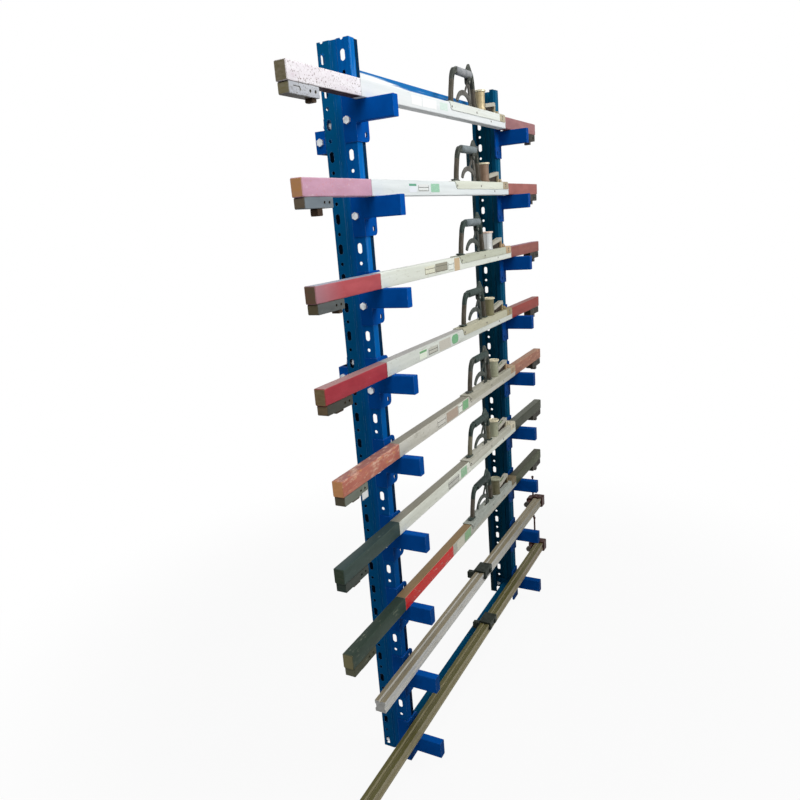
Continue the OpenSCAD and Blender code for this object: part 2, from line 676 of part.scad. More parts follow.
// A drawn rail with a groove in its top and in each side.
module rail(i) {
  g = rail_groove;
  color("#8d8a7c") run(-rail_l[i], rail_l[i]) polygon([[0, 0], [rail_w, 0], [rail_w, 9], [rail_w - g, 9 + g],
    [rail_w - g, rail_h - 9 - g], [rail_w, rail_h - 9], [rail_w, rail_h], [rail_w / 2 + 5, rail_h],
    [rail_w / 2 + 5 - g, rail_h - g], [rail_w / 2 - 5 + g, rail_h - g], [rail_w / 2 - 5, rail_h], [0, rail_h],
    [0, rail_h - 9], [g, rail_h - 9 - g], [g, 9 + g], [0, 9]]);
}

// The casting round the rail's end, whose boss carries the screw, with the rivet that holds it.
module clamp_head(i) {
  wall = 6;
  back = screw_y + 15;
  color("#4a352c") difference() {
    translate([-head_l, -wall, -wall]) cube([head_l, back + wall, rail_h + 2 * wall]);
    translate([-head_l - 1, 0, 0]) cube([head_l + 2, rail_w, rail_h]);
    x_hole(-head_l - 1, screw_y, screw_z, screw_d + 2 * move_gap, head_l + 2);
    translate([-head_l - 1, rail_w + wall, -wall - 1]) cube([head_l + 2, back, wall + 5]);
    translate([-head_l - 1, rail_w + wall, rail_h - 3]) cube([head_l + 2, back, wall + 5]);
  }
  color("silver") translate([-head_l / 2, rail_w / 2, rail_h + wall]) cylinder(d = 9, h = 3);
}

// The sliding jaw: a saddle over the rail with two ribs on its front and a pressing lug behind.
module clamp_jaw(i) {
  g = move_gap;
  x0 = jaw_at[i] - rail_far[i] - jaw_l / 2;
  lug = 20;
  color("#2f352e") union() {
    difference() {
      translate([x0, -g - jaw_t, 11]) cube([jaw_l, rail_w + 2 * (g + jaw_t), rail_h - 11 + g + jaw_t]);
      translate([x0 - 1, -g, 10]) cube([jaw_l + 2, rail_w + 2 * g, rail_h - 10 + g]);
      translate([x0 + 22, -g - jaw_t - 1, 10]) cube([jaw_l - 44, 4, rail_h]);
    }
    difference() {
      translate([x0, rail_w + g, 4]) cube([lug, screw_y + 13 - rail_w - g, rail_h - 8]);
      translate([x0 + 8, rail_w + g + jaw_t, 3]) cube([lug, screw_y, 8]);
    }
  }
}

// The swivelling pad on the screw's end.
module clamp_pad(i) {
  color("silver") difference() {
    x_hole(pad_x, screw_y, screw_z, 24, pad_l);
    x_hole(pad_x + 5, screw_y, screw_z, screw_d - 4 + 2 * run_fit, pad_l);
  }
}

// The screw with its collar and the ball-ended tommy bar through it.
module clamp_screw(i) {
  out = 14;
  ball = tommy_d + 4;
  middle = screw_z + tommy_shift[i];
  color("#4a352c") union() {
    x_hole(pad_x + 5 + move_gap, screw_y, screw_z, screw_d - 4, pad_l);
    x_hole(pad_x + pad_l + move_gap, screw_y, screw_z, screw_d, out + 6 - pad_x - pad_l);
    x_hole(out - 8, screw_y, screw_z, screw_d + 8, 16);
    translate([out, screw_y, middle - tommy_l / 2 + 2]) cylinder(d = tommy_d, h = tommy_l - 4);
    for (s = [-1, 1]) translate([out, screw_y, middle + s * (tommy_l - ball) / 2]) sphere(d = ball, $fn = 24);
  }
}

from_corner() upright();  // near_upright
from_corner() at_far() upright();  // far_upright
from_corner() arms();  // near_arms
from_corner() at_far() arms();  // far_arms
from_corner() cross_beam(upper_beam, pattern);  // upper_cross_beam
from_corner() cross_beam(lower_beam, -lower_hole);  // lower_cross_beam
from_corner() ties();  // wall_ties
from_corner() frame_bolts();
for (i = [0:6]) {
  place_gauge(i) gauge_bar();
  place_gauge(i) gauge_end_blocks(i);
  place_gauge(i) gauge_handle();
  place_gauge(i) gauge_trigger();
  place_gauge(i) gauge_drum();
  place_gauge(i) gauge_feeler();
}
for (i = [0:1]) {
  place_clamp(i) rail(i);
  place_clamp(i) clamp_head(i);
  place_clamp(i) clamp_jaw(i);
  place_clamp(i) clamp_pad(i);
  place_clamp(i) clamp_screw(i);
}
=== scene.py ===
"""Looks of a wall-tied rack with seven bar gauges and two bar clamps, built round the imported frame."""

from __future__ import annotations

import json
import logging
import math
from dataclasses import dataclass
from enum import Enum
from typing import Any, Sequence

import bmesh
import bpy
from mathutils import Matrix, Vector, noise

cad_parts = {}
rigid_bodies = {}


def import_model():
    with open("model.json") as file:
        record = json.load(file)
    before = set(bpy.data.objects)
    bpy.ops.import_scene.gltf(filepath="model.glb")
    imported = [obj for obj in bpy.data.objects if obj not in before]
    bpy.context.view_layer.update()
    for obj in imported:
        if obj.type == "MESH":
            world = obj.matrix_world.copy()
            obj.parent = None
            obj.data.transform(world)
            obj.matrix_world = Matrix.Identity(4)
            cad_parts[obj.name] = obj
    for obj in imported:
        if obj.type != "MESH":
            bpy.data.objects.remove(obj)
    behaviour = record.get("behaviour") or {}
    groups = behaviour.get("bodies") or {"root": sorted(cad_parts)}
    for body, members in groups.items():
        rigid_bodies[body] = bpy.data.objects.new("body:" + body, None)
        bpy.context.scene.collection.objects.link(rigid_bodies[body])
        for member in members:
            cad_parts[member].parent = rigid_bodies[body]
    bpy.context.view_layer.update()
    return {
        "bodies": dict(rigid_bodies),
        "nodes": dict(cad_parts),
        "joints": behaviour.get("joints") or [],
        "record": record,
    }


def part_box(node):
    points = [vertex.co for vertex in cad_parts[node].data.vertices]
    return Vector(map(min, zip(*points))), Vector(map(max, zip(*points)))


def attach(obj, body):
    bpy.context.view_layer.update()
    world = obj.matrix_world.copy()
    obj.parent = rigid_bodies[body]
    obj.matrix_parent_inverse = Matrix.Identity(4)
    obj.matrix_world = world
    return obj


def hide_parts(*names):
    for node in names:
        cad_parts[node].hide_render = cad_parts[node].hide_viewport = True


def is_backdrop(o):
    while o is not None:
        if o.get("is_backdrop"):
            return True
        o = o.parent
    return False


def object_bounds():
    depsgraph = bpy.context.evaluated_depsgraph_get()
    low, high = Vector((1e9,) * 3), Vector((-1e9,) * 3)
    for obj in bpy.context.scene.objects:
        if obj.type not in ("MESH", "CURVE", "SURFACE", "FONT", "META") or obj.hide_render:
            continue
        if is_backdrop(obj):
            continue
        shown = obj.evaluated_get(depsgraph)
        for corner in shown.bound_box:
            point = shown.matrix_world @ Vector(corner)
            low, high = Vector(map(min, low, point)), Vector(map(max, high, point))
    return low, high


LOG = logging.getLogger("rack")
MM = 0.001
PER_M = 1000
X, Y, Z = range(3)

Pair = tuple[float, float]
Triple = tuple[float, float, float]
Ring = list[Vector]


def linear(text: str) -> tuple[float, float, float, float]:
    """Turns an sRGB hex value to the linear colour that a shader takes.

    Args:
        text: The colour as "#rrggbb".

    Returns:
        Red, green, blue and a full alpha.
    """
    parts = [int(text[k : k + 2], 16) / 255 for k in (1, 3, 5)]
    red, green, blue = [p / 12.92 if p <= 0.04045 else ((p + 0.055) / 1.055) ** 2.4 for p in parts]
    return red, green, blue, 1.0


def add(tree: bpy.types.NodeTree, kind: str, values: dict[Any, Any], links: dict[Any, Any],
        **settings: Any) -> Any:
    """Adds a node with its settings, input values and links.

    Args:
        tree: The material's node tree.
        kind: The node's type name.
        values: Default values by input name or number.
        links: Sockets to link to inputs by name or number.
        **settings: Attributes of the node itself.

    Returns:
        The new node.
    """
    made = tree.nodes.new(kind)
    for key, value in settings.items():
        setattr(made, key, value)
    for key, value in values.items():
        made.inputs[key].default_value = value
    for key, socket in links.items():
        tree.links.new(socket, made.inputs[key])
    return made


class Coat:
    """The working side of one material: its tree, the colour laid so far and the finishes' shared masks."""

    edge_turn = (1 - 0.1 / 9, 1 - 1.4 / 9)

    def __init__(self, name: str, ground: str) -> None:
        """Makes a material of that name, with the ground colour that others are laid on."""
        self.material = bpy.data.materials.new(name)
        self.material.use_nodes = True
        self.tree = self.material.node_tree
        self.shader = self.tree.nodes["Principled BSDF"]
        self.coords = add(self.tree, "ShaderNodeTexCoord", {}, {})
        self.body: Any = ground

    def grain(self, size: Triple, detail: float = 4.0, rough: float = 0.55) -> Any:
        """Noise stretched to a real size.

        Args:
            size: Width of one blotch along X, Y and Z, in millimetres.
            detail: Octaves of the noise.
            rough: Weight of the finer octaves.

        Returns:
            The noise's value socket.
        """
        scale = [1 / (s * MM) for s in size]
        place = {"Vector": self.coords.outputs["Object"]}
        stretched = add(self.tree, "ShaderNodeMapping", {"Scale": scale}, place)
        values = {"Scale": 1.0, "Detail": detail, "Roughness": rough}
        return add(self.tree, "ShaderNodeTexNoise", values, {"Vector": stretched.outputs[0]}).outputs["Fac"]

    def band(self, value: Any, low: float, high: float) -> Any:
        """A value's stretch between two levels, drawn out from 0 to 1.

        Args:
            value: The socket to stretch.
            low: The level that gives 0.
            high: The level that gives 1.

        Returns:
            The clamped socket.
        """
        values = {"From Min": low, "From Max": high}
        return add(self.tree, "ShaderNodeMapRange", values, {"Value": value}).outputs["Result"]

    def blotches(self, size: Triple, low: float, high: float, detail: float = 4.0,
                 rough: float = 0.55) -> Any:
        """Mask of the noise between two of its levels. The sizes are as in grain, the levels as in band."""
        return self.band(self.grain(size, detail, rough), low, high)

    def times(self, first: Any, second: Any) -> Any:
        """Multiplies a socket by a socket or a number."""
        return self.reckon("MULTIPLY", first, second)

    def either(self, first: Any, second: Any) -> Any:
        """The larger of two masks."""
        return self.reckon("MAXIMUM", first, second)

    def reckon(self, way: str, first: Any, second: Any) -> Any:
        """One step of arithmetic.

        Args:
            way: The Math node's operation.
            first: A socket.
            second: A socket or a number.

        Returns:
            The result's socket.
        """
        if isinstance(second, (int, float)):
            return add(self.tree, "ShaderNodeMath", {1: second}, {0: first}, operation=way).outputs[0]
        return add(self.tree, "ShaderNodeMath", {}, {0: first, 1: second}, operation=way).outputs[0]

    def edges(self, width: float) -> Any:
        """Mask of the edges, where handling rubs the paint off.

        Args:
            width: How far the mask reaches from an edge, in millimetres.

        Returns:
            A socket that is 1 on the edges and 0 on the flats.
        """
        soft = add(self.tree, "ShaderNodeBevel", {"Radius": width * MM}, {}, samples=4)
        true = add(self.tree, "ShaderNodeNewGeometry", {}, {})
        links = {0: soft.outputs["Normal"], 1: true.outputs["Normal"]}
        agree = add(self.tree, "ShaderNodeVectorMath", {}, links, operation="DOT_PRODUCT")
        return self.band(agree.outputs["Value"], *self.edge_turn)

    def part(self, output: str, axis: int) -> Any:
        """One axis of the object's own place or normal."""
        return add(self.tree, "ShaderNodeSeparateXYZ", {}, {0: self.coords.outputs[output]}).outputs[axis]

    def endward(self) -> Any:
        """Mask of the faces that look along X, either way."""
        return self.band(self.reckon("ABSOLUTE", self.part("Normal", X), 0.0), 0.7, 0.9)

    def upward(self) -> Any:
        """Mask of the faces that look up."""
        return self.band(self.part("Normal", Z), 0.6, 0.95)

    def downward(self) -> Any:
        """Mask of the faces that look down."""
        return self.band(self.part("Normal", Z), -0.6, -0.95)

    def frontward(self) -> Any:
        """Mask of the faces that look away from the wall."""
        return self.band(self.part("Normal", Y), -0.6, -0.9)

    def along(self, axis: int, start: float, stop: float) -> Any:
        """Ramp from 0 to 1 between two places along an axis, in millimetres."""
        return self.band(self.part("Object", axis), start * MM, stop * MM)

    def mix(self, mask: Any, first: Any, second: Any) -> Any:
        """Mixes two colours, each a hex value or a socket.

        Args:
            mask: The factor's socket, 0 for the first colour.
            first: The colour under the mask's zero.
            second: The colour under the mask's one.

        Returns:
            The mixed colour's socket.
        """
        values, links = {}, {0: mask}
        for slot, colour in ((6, first), (7, second)):
            if isinstance(colour, str):
                values[slot] = linear(colour)
            else:
                links[slot] = colour
        return add(self.tree, "ShaderNodeMix", values, links, data_type="RGBA").outputs[2]

    def lay(self, mask: Any, colour: Any, share: float = 1.0) -> None:
        """Lays a colour over the body that the coat has so far.

        Args:
            mask: The socket that says where.
            colour: A hex value or a socket.
            share: How much of the colour the mask's one stands for.
        """
        factor = self.times(mask, share) if share < 1 else mask
        self.body = self.mix(factor, self.body, colour)

    def paint(self, **sockets: float) -> None:
        """Hands the laid colours to the shader, and sets its plain numbers.

        Args:
            **sockets: Values by socket name, with _ for a space.
        """
        self.tree.links.new(self.body, self.shader.inputs["Base Color"])
        for name, value in sockets.items():
            self.shader.inputs[name.replace("_", " ")].default_value = value

    def roughen(self, mask: Any, low: float, high: float) -> None:
        """Lets the roughness run from low to high with a mask."""
        values = {"To Min": low, "To Max": high}
        made = add(self.tree, "ShaderNodeMapRange", values, {"Value": mask})
        self.tree.links.new(made.outputs["Result"], self.shader.inputs["Roughness"])

    def emboss(self, height: Any, depth: float, strength: float) -> None:
        """Raises the surface by a height socket, with its depth in millimetres."""
        values = {"Strength": strength, "Distance": depth * MM}
        made = add(self.tree, "ShaderNodeBump", values, {"Height": height})
        self.tree.links.new(made.outputs["Normal"], self.shader.inputs["Normal"])


@dataclass(frozen=True)
class Finish:
    """A finish that is made once and shared by its pieces."""

    name: str
    colour: str

    def material(self) -> bpy.types.Material:
        """Returns the material, and makes it at its first use."""
        found = bpy.data.materials.get(self.name)
        if found:
            return found
        coat = Coat(self.name, self.colour)
        self.dress(coat)
        return coat.material

    def dress(self, coat: Coat) -> None:
        """Lays the finish's colours. Each kind of finish has its own."""
        raise NotImplementedError


@dataclass(frozen=True)
class Enamel(Finish):
    """Alkyd enamel sprayed on rolled steel: a deep even colour, thin and chipped at its edges.

    The colour darkens in long vertical streaks, and the sheen is broken by the roll marks under the paint. It
    is set low, because old enamel in a workshop shows almost none. Several colours are painted light and
    shade:
    the front, low, recess and end-glare colours, the pale streaks, and in part the pale chips. A colour left
    empty is left out.
    """

    deep: str
    bright: str
    # Pale chips on the edges, which also serve as painted edge highlights and colour the painted glare
    # streaks.
    chip_and_highlight: str
    roughness: float = 0.42
    streak: Triple = (9.0, 9.0, 420.0)
    wear: float = 0.35
    rear: str = ""
    rear_from: Pair = (-84.0, -66.0)
    # Painted shade: a darker colour towards the bottom, laid mostly on front faces.
    low: str = ""
    low_shade_from: Pair = (150.0, -1150.0)
    # Painted shade: a dark colour on the stepped part and the lips, darker again lower down.
    recess_shade: str = ""
    recess_shade_low: str = ""
    recess_half: float = 485.5
    middle: float = -64.0
    # Painted highlight: pale vertical streaks on the front faces, fading out downwards.
    glare_streaks_from: Pair = (-300.0, 400.0)
    # Painted light: a lighter colour on the faces that look away from the wall, toward the light.
    front: str = ""
    # Painted highlight: white glare on the front's near end.
    end_glare: str = ""
    end_glare_from: Pair = (-220.0, -470.0)
    end_glare_below: Pair = (463.0, 457.0)

    def dress(self, coat: Coat) -> None:
        """Streaks, faint scuffs, chipped edges and an orange-peel skin of about 2 mm, with painted light and
        shade
        laid in: a lighter front, pale glare and streaks, pale chips as edge highlights, a darker lower part
        and a dark recess.
        """
        coat.lay(coat.blotches(self.streak, 0.38, 0.66), self.deep, 0.75)
        if self.rear:
            coat.lay(coat.along(Y, *self.rear_from), self.rear, 0.9)
        coat.lay(coat.blotches((34.0, 34.0, 90.0), 0.58, 0.74, 6.0, 0.65), self.bright, 0.35)
        # Painted light: faces that look away from the wall, toward the light, are laid lighter.
        if self.front:
            coat.lay(coat.frontward(), self.front, 0.6)
        # Painted highlight: white glare laid on the front's near end.
        if self.end_glare:
            coat.lay(self.end_glare_mask(coat), self.end_glare)
        # Painted shade: the colour darkens towards the bottom, where less light falls; the recess shade
        # deepens the same way.
        downward_shade = coat.along(Z, *self.low_shade_from)
        if self.low:
            coat.lay(coat.times(downward_shade, coat.either(coat.frontward(), 0.3)), self.low)
        # Painted highlight: pale vertical streaks of glare on the front faces, in the chip colour, stronger
        # upwards.
        if self.recess_shade:
            glare_streaks = coat.times(coat.blotches((4.0, 4.0, 240.0), 0.56, 0.64, 3.0), coat.frontward())
            coat.lay(coat.times(glare_streaks, coat.along(Z, *self.glare_streaks_from)), self.chip_and_highlight, 0.5)
        # Pale chipped edges: real chips, brightened to stand in for painted highlight lines along the edges.
        ragged = coat.blotches((5.0, 5.0, 11.0), 0.5 - 0.2 * self.wear, 0.62, 3.0)
        coat.lay(coat.times(coat.edges(1.6), ragged), self.chip_and_highlight, 0.6)
        # Painted shade: the stepped part and the lips are laid dark, darker lower down.
        if self.recess_shade:
            coat.lay(self.recess_shade_mask(coat), coat.mix(downward_shade, self.recess_shade, self.recess_shade_low))
        coat.paint(Specular_IOR_Level=0.03, IOR=1.2)
        coat.roughen(coat.grain((60.0, 60.0, 140.0)), self.roughness - 0.1, self.roughness + 0.16)
        coat.emboss(coat.grain((2.0, 2.0, 2.0), 2.0), 0.06, 0.35)

    def end_glare_mask(self, coat: Coat) -> Any:
        """Mask of the painted glare on the front's near end, ragged where it stops and cut off along its
        upper line.
        """
        rubbed = coat.blotches((400.0, 6.0, 5.0), 0.6, 0.4, 4.0, 0.6)
        worn = coat.reckon("ADD", coat.along(X, *self.end_glare_from), coat.times(rubbed, 0.5))
        worn = coat.times(coat.times(worn, coat.frontward()), coat.along(Z, *self.end_glare_below))
        return coat.band(worn, 0.45, 0.75)

    def recess_shade_mask(self, coat: Coat) -> Any:
        """Mask of the stepped part and the lips of both channels, which get a painted shade."""
        shifted = coat.reckon("ADD", coat.part("Object", X), -self.middle * MM)
        edge, blur = self.recess_half * MM, 0.6 * MM
        return coat.band(coat.reckon("ABSOLUTE", shifted, 0.0), edge + blur, edge - blur)


@dataclass(frozen=True)
class BarPaint(Finish):
    """Brushed enamel on an aluminium bar: chalky, rubbed dull by hands and scratched along its length."""

    shade: str
    soil: str
    bare: str
    dirt: float
    roughness: float = 0.5
    # Painted light and shade from above on up-facing faces, mixed with the grime the tops carry.
    top: str = ""
    mark: str = ""
    mark_stop: float = 0.0
    # Painted shade: a darker colour towards the far end.
    far: str = ""
    far_shade_from: Pair = (-100.0, 500.0)

    def dress(self, coat: Coat) -> None:
        """Long drifts of shade, blotches of grime, specks, scratches 3 mm wide and rubbed edges."""
        coat.lay(coat.blotches((260.0, 18.0, 14.0), 0.35, 0.68), self.shade, 0.8)
        # Painted shade: the bar darkens towards the far end.
        if self.far:
            coat.lay(coat.along(X, *self.far_shade_from), self.far)
        if self.mark:
            worn = coat.blotches((30.0, 8.0, 6.0), 0.66, 0.6, 5.0, 0.7)
            fading = coat.along(X, self.mark_stop + 3.0, self.mark_stop - 3.0)
            coat.lay(coat.times(coat.times(fading, worn), coat.frontward()), self.mark)
        # Up-facing faces are laid in their own colour: painted light and shade from above, with some grime.
        if self.top:
            coat.lay(coat.upward(), self.top)
        grime = coat.blotches((46.0, 11.0, 9.0), 0.66 - 0.2 * self.dirt, 0.8, 6.0, 0.7)
        coat.lay(grime, self.soil, 0.7)
        level = 0.7 - 0.16 * self.dirt
        coat.lay(coat.blotches((7.0, 5.0, 5.0), level, level + 0.08, 3.0, 0.6), self.soil, 0.6)
        rubbed = coat.times(coat.edges(1.8), coat.blotches((22.0, 6.0, 6.0), 0.42, 0.6))
        coat.lay(rubbed, self.bare, 0.7)
        coat.paint(Specular_IOR_Level=0.2, IOR=1.5)
        coat.roughen(grime, self.roughness, self.roughness + 0.2)
        coat.emboss(coat.grain((30.0, 3.0, 3.0), 3.0), 0.12, 0.4)


@dataclass(frozen=True)
class BlockPaint(Finish):
    """Brushed enamel on a laminated hardwood block: knocked at its edges, and dark at its sawn end."""

    shade: str
    under: str
    wood: str
    end: str
    wear: float
    # Painted light and reflection from above on up-facing faces.
    top: str = ""
    fade: str = ""
    fade_from: Pair = (-700.0, -850.0)
    speck: str = ""
    under_side: str = ""

    def dress(self, coat: Coat) -> None:
        """Patches worn to the undercoat, wood at the edges, and a sawn end with 4 mm growth rings."""
        wear = self.wear
        coat.lay(coat.blotches((70.0, 22.0, 22.0), 0.34, 0.68, 5.0, 0.6), self.shade)
        if self.fade:
            coat.lay(coat.along(X, *self.fade_from), self.fade)
        # Up-facing faces are laid in their own colour: painted light and reflection from above.
        if self.top:
            coat.lay(coat.upward(), self.top)
        if self.under_side:
            coat.lay(coat.downward(), self.under_side)
        patch = coat.blotches((34.0, 13.0, 11.0), 0.68 - 0.24 * wear, 0.78 - 0.16 * wear, 6.0, 0.68)
        coat.lay(patch, self.under, 0.85)
        bared = coat.blotches((19.0, 8.0, 7.0), 0.74 - 0.22 * wear, 0.8 - 0.18 * wear, 5.0, 0.7)
        coat.lay(bared, self.wood, 0.8)
        knocked = coat.blotches((12.0, 7.0, 7.0), 0.52 - 0.16 * wear, 0.6)
        coat.lay(coat.times(coat.edges(2.6), knocked), self.wood, 0.85)
        if self.speck:
            clusters = coat.blotches((60.0, 30.0, 24.0), 0.34, 0.5, 3.0)
            specks = coat.blotches((4.4, 4.0, 4.0), 0.57, 0.63, 3.0, 0.7)
            coat.lay(coat.times(specks, clusters), self.speck, 0.85)
        rings = coat.blotches((60.0, 14.0, 4.0), 0.35, 0.65, 3.0)
        coat.lay(coat.endward(), coat.mix(coat.times(rings, 0.35), self.end, self.wood))
        coat.paint(Specular_IOR_Level=0.08, IOR=1.5)
        coat.roughen(patch, 0.46, 0.72)
        coat.emboss(coat.either(patch, coat.times(coat.grain((40.0, 3.0, 3.0)), 0.4)), 0.25, 0.5)


@dataclass(frozen=True)
class Casting(Finish):
    """Sand-cast metal, painted and handled: a matt grainy skin, polished where it stands proud."""

    shade: str
    worn: str
    wear: float
    roughness: float = 0.55
    metallic: float = 0.0

    def dress(self, coat: Coat) -> None:
        """Mottled paint, bright edges and the 1.5 mm grain of the mould."""
        mottle = coat.blotches((14.0, 14.0, 22.0), 0.36, 0.66, 5.0, 0.6)
        coat.lay(mottle, self.shade)
        bright = coat.blotches((9.0, 9.0, 13.0), 0.5 - 0.25 * self.wear, 0.62)
        coat.lay(coat.times(coat.edges(1.8), bright), self.worn, 0.8)
        coat.paint(Metallic=self.metallic, Specular_IOR_Level=0.12)
        coat.roughen(mottle, self.roughness - 0.08, self.roughness + 0.14)
        coat.emboss(coat.grain((1.5, 1.5, 1.5), 2.0), 0.2, 0.5)


@dataclass(frozen=True)
class BareMetal(Finish):
    """Turned or drawn metal with a tarnished skin: brass, zinc-plated steel or oiled steel by its colours."""

    tarnish: str
    metallic: float
    roughness: float
    blotch: Triple = (10.0, 10.0, 10.0)

    def dress(self, coat: Coat) -> None:
        """Blotches of tarnish, with turning marks about 0.8 mm apart drawn as a fine bump."""
        dull = coat.blotches(self.blotch, 0.36, 0.68, 5.0, 0.6)
        coat.lay(dull, self.tarnish)
        coat.paint(Metallic=self.metallic)
        coat.roughen(dull, self.roughness, self.roughness + 0.25)
        coat.emboss(coat.grain((6.0, 6.0, 0.8), 2.0), 0.08, 0.35)


@dataclass(frozen=True)
class Sticker(Finish):
    """Printed vinyl label, left bare: a flat semi-gloss skin with faint scuffs."""

    soil: str

    def dress(self, coat: Coat) -> None:
        """Scuffs about 8 mm long on an even colour."""
        coat.lay(coat.blotches((8.0, 4.0, 3.0), 0.55, 0.72), self.soil, 0.6)
        coat.paint(Roughness=0.42)


@dataclass(frozen=True)
class VialGlass(Finish):
    """Spirit in a glass tube: clear and pale green."""

    swirl: str

    def dress(self, coat: Coat) -> None:
        """Glass with the common refraction of 1.5 and a faint swirl."""
        coat.lay(coat.blotches((6.0, 6.0, 6.0), 0.3, 0.7), self.swirl)
        coat.paint(Roughness=0.05, IOR=1.5, Transmission_Weight=0.6)


def turns(count: int) -> list[float]:
    """Even angles round a full circle, in radians."""
    return [2 * math.pi * k / count for k in range(count)]


def arc(centre: Pair, radius: float, start: float, stop: float, steps: int) -> list[Pair]:
    """Points on an arc, with its angles in degrees."""
    angles = [math.radians(start + (stop - start) * k / steps) for k in range(steps + 1)]
    return [(centre[0] + radius * math.cos(a), centre[1] + radius * math.sin(a)) for a in angles]


def rounded(low: Pair, high: Pair, radius: float, steps: int = 4) -> list[Pair]:
    """Outline of a rectangle with round corners, counter-clockwise from its upper right."""
    tips = ((high[0], high[1], 0), (low[0], high[1], 90), (low[0], low[1], 180), (high[0], low[1], 270))
    middle = ((low[0] + high[0]) / 2, (low[1] + high[1]) / 2)
    points: list[Pair] = []
    for x, y, start in tips:
        inward = (x - math.copysign(radius, x - middle[0]), y - math.copysign(radius, y - middle[1]))
        points += arc(inward, radius, start, start + 90, steps)
    return points


def between(t: float, before: float, here: float, there: float, after: float) -> float:
    """A Catmull-Rom curve's value at t from here to there, with its neighbours before and after."""
    bend = (2 * before - 5 * here + 4 * there - after) * t * t
    return 0.5 * (2 * here + (there - before) * t + bend + (3 * here - before - 3 * there + after) * t**3)


def smoothed(points: Sequence[Sequence[float]], steps: int) -> list[tuple[float, ...]]:
    """A Catmull-Rom curve through the points, with the same interpolation for each further column.

    Args:
        points: Rows of any width, such as x, z and a half width.
        steps: Pieces between two rows.

    Returns:
        The finer rows, with both ends kept.
    """
    rows = [points[0], *points, points[-1]]
    fine: list[tuple[float, ...]] = []
    for k in range(1, len(rows) - 2):
        for s in range(steps):
            fine.append(tuple(between(s / steps, *column) for column in zip(*rows[k - 1 : k + 3])))
    fine.append(tuple(points[-1]))
    return fine


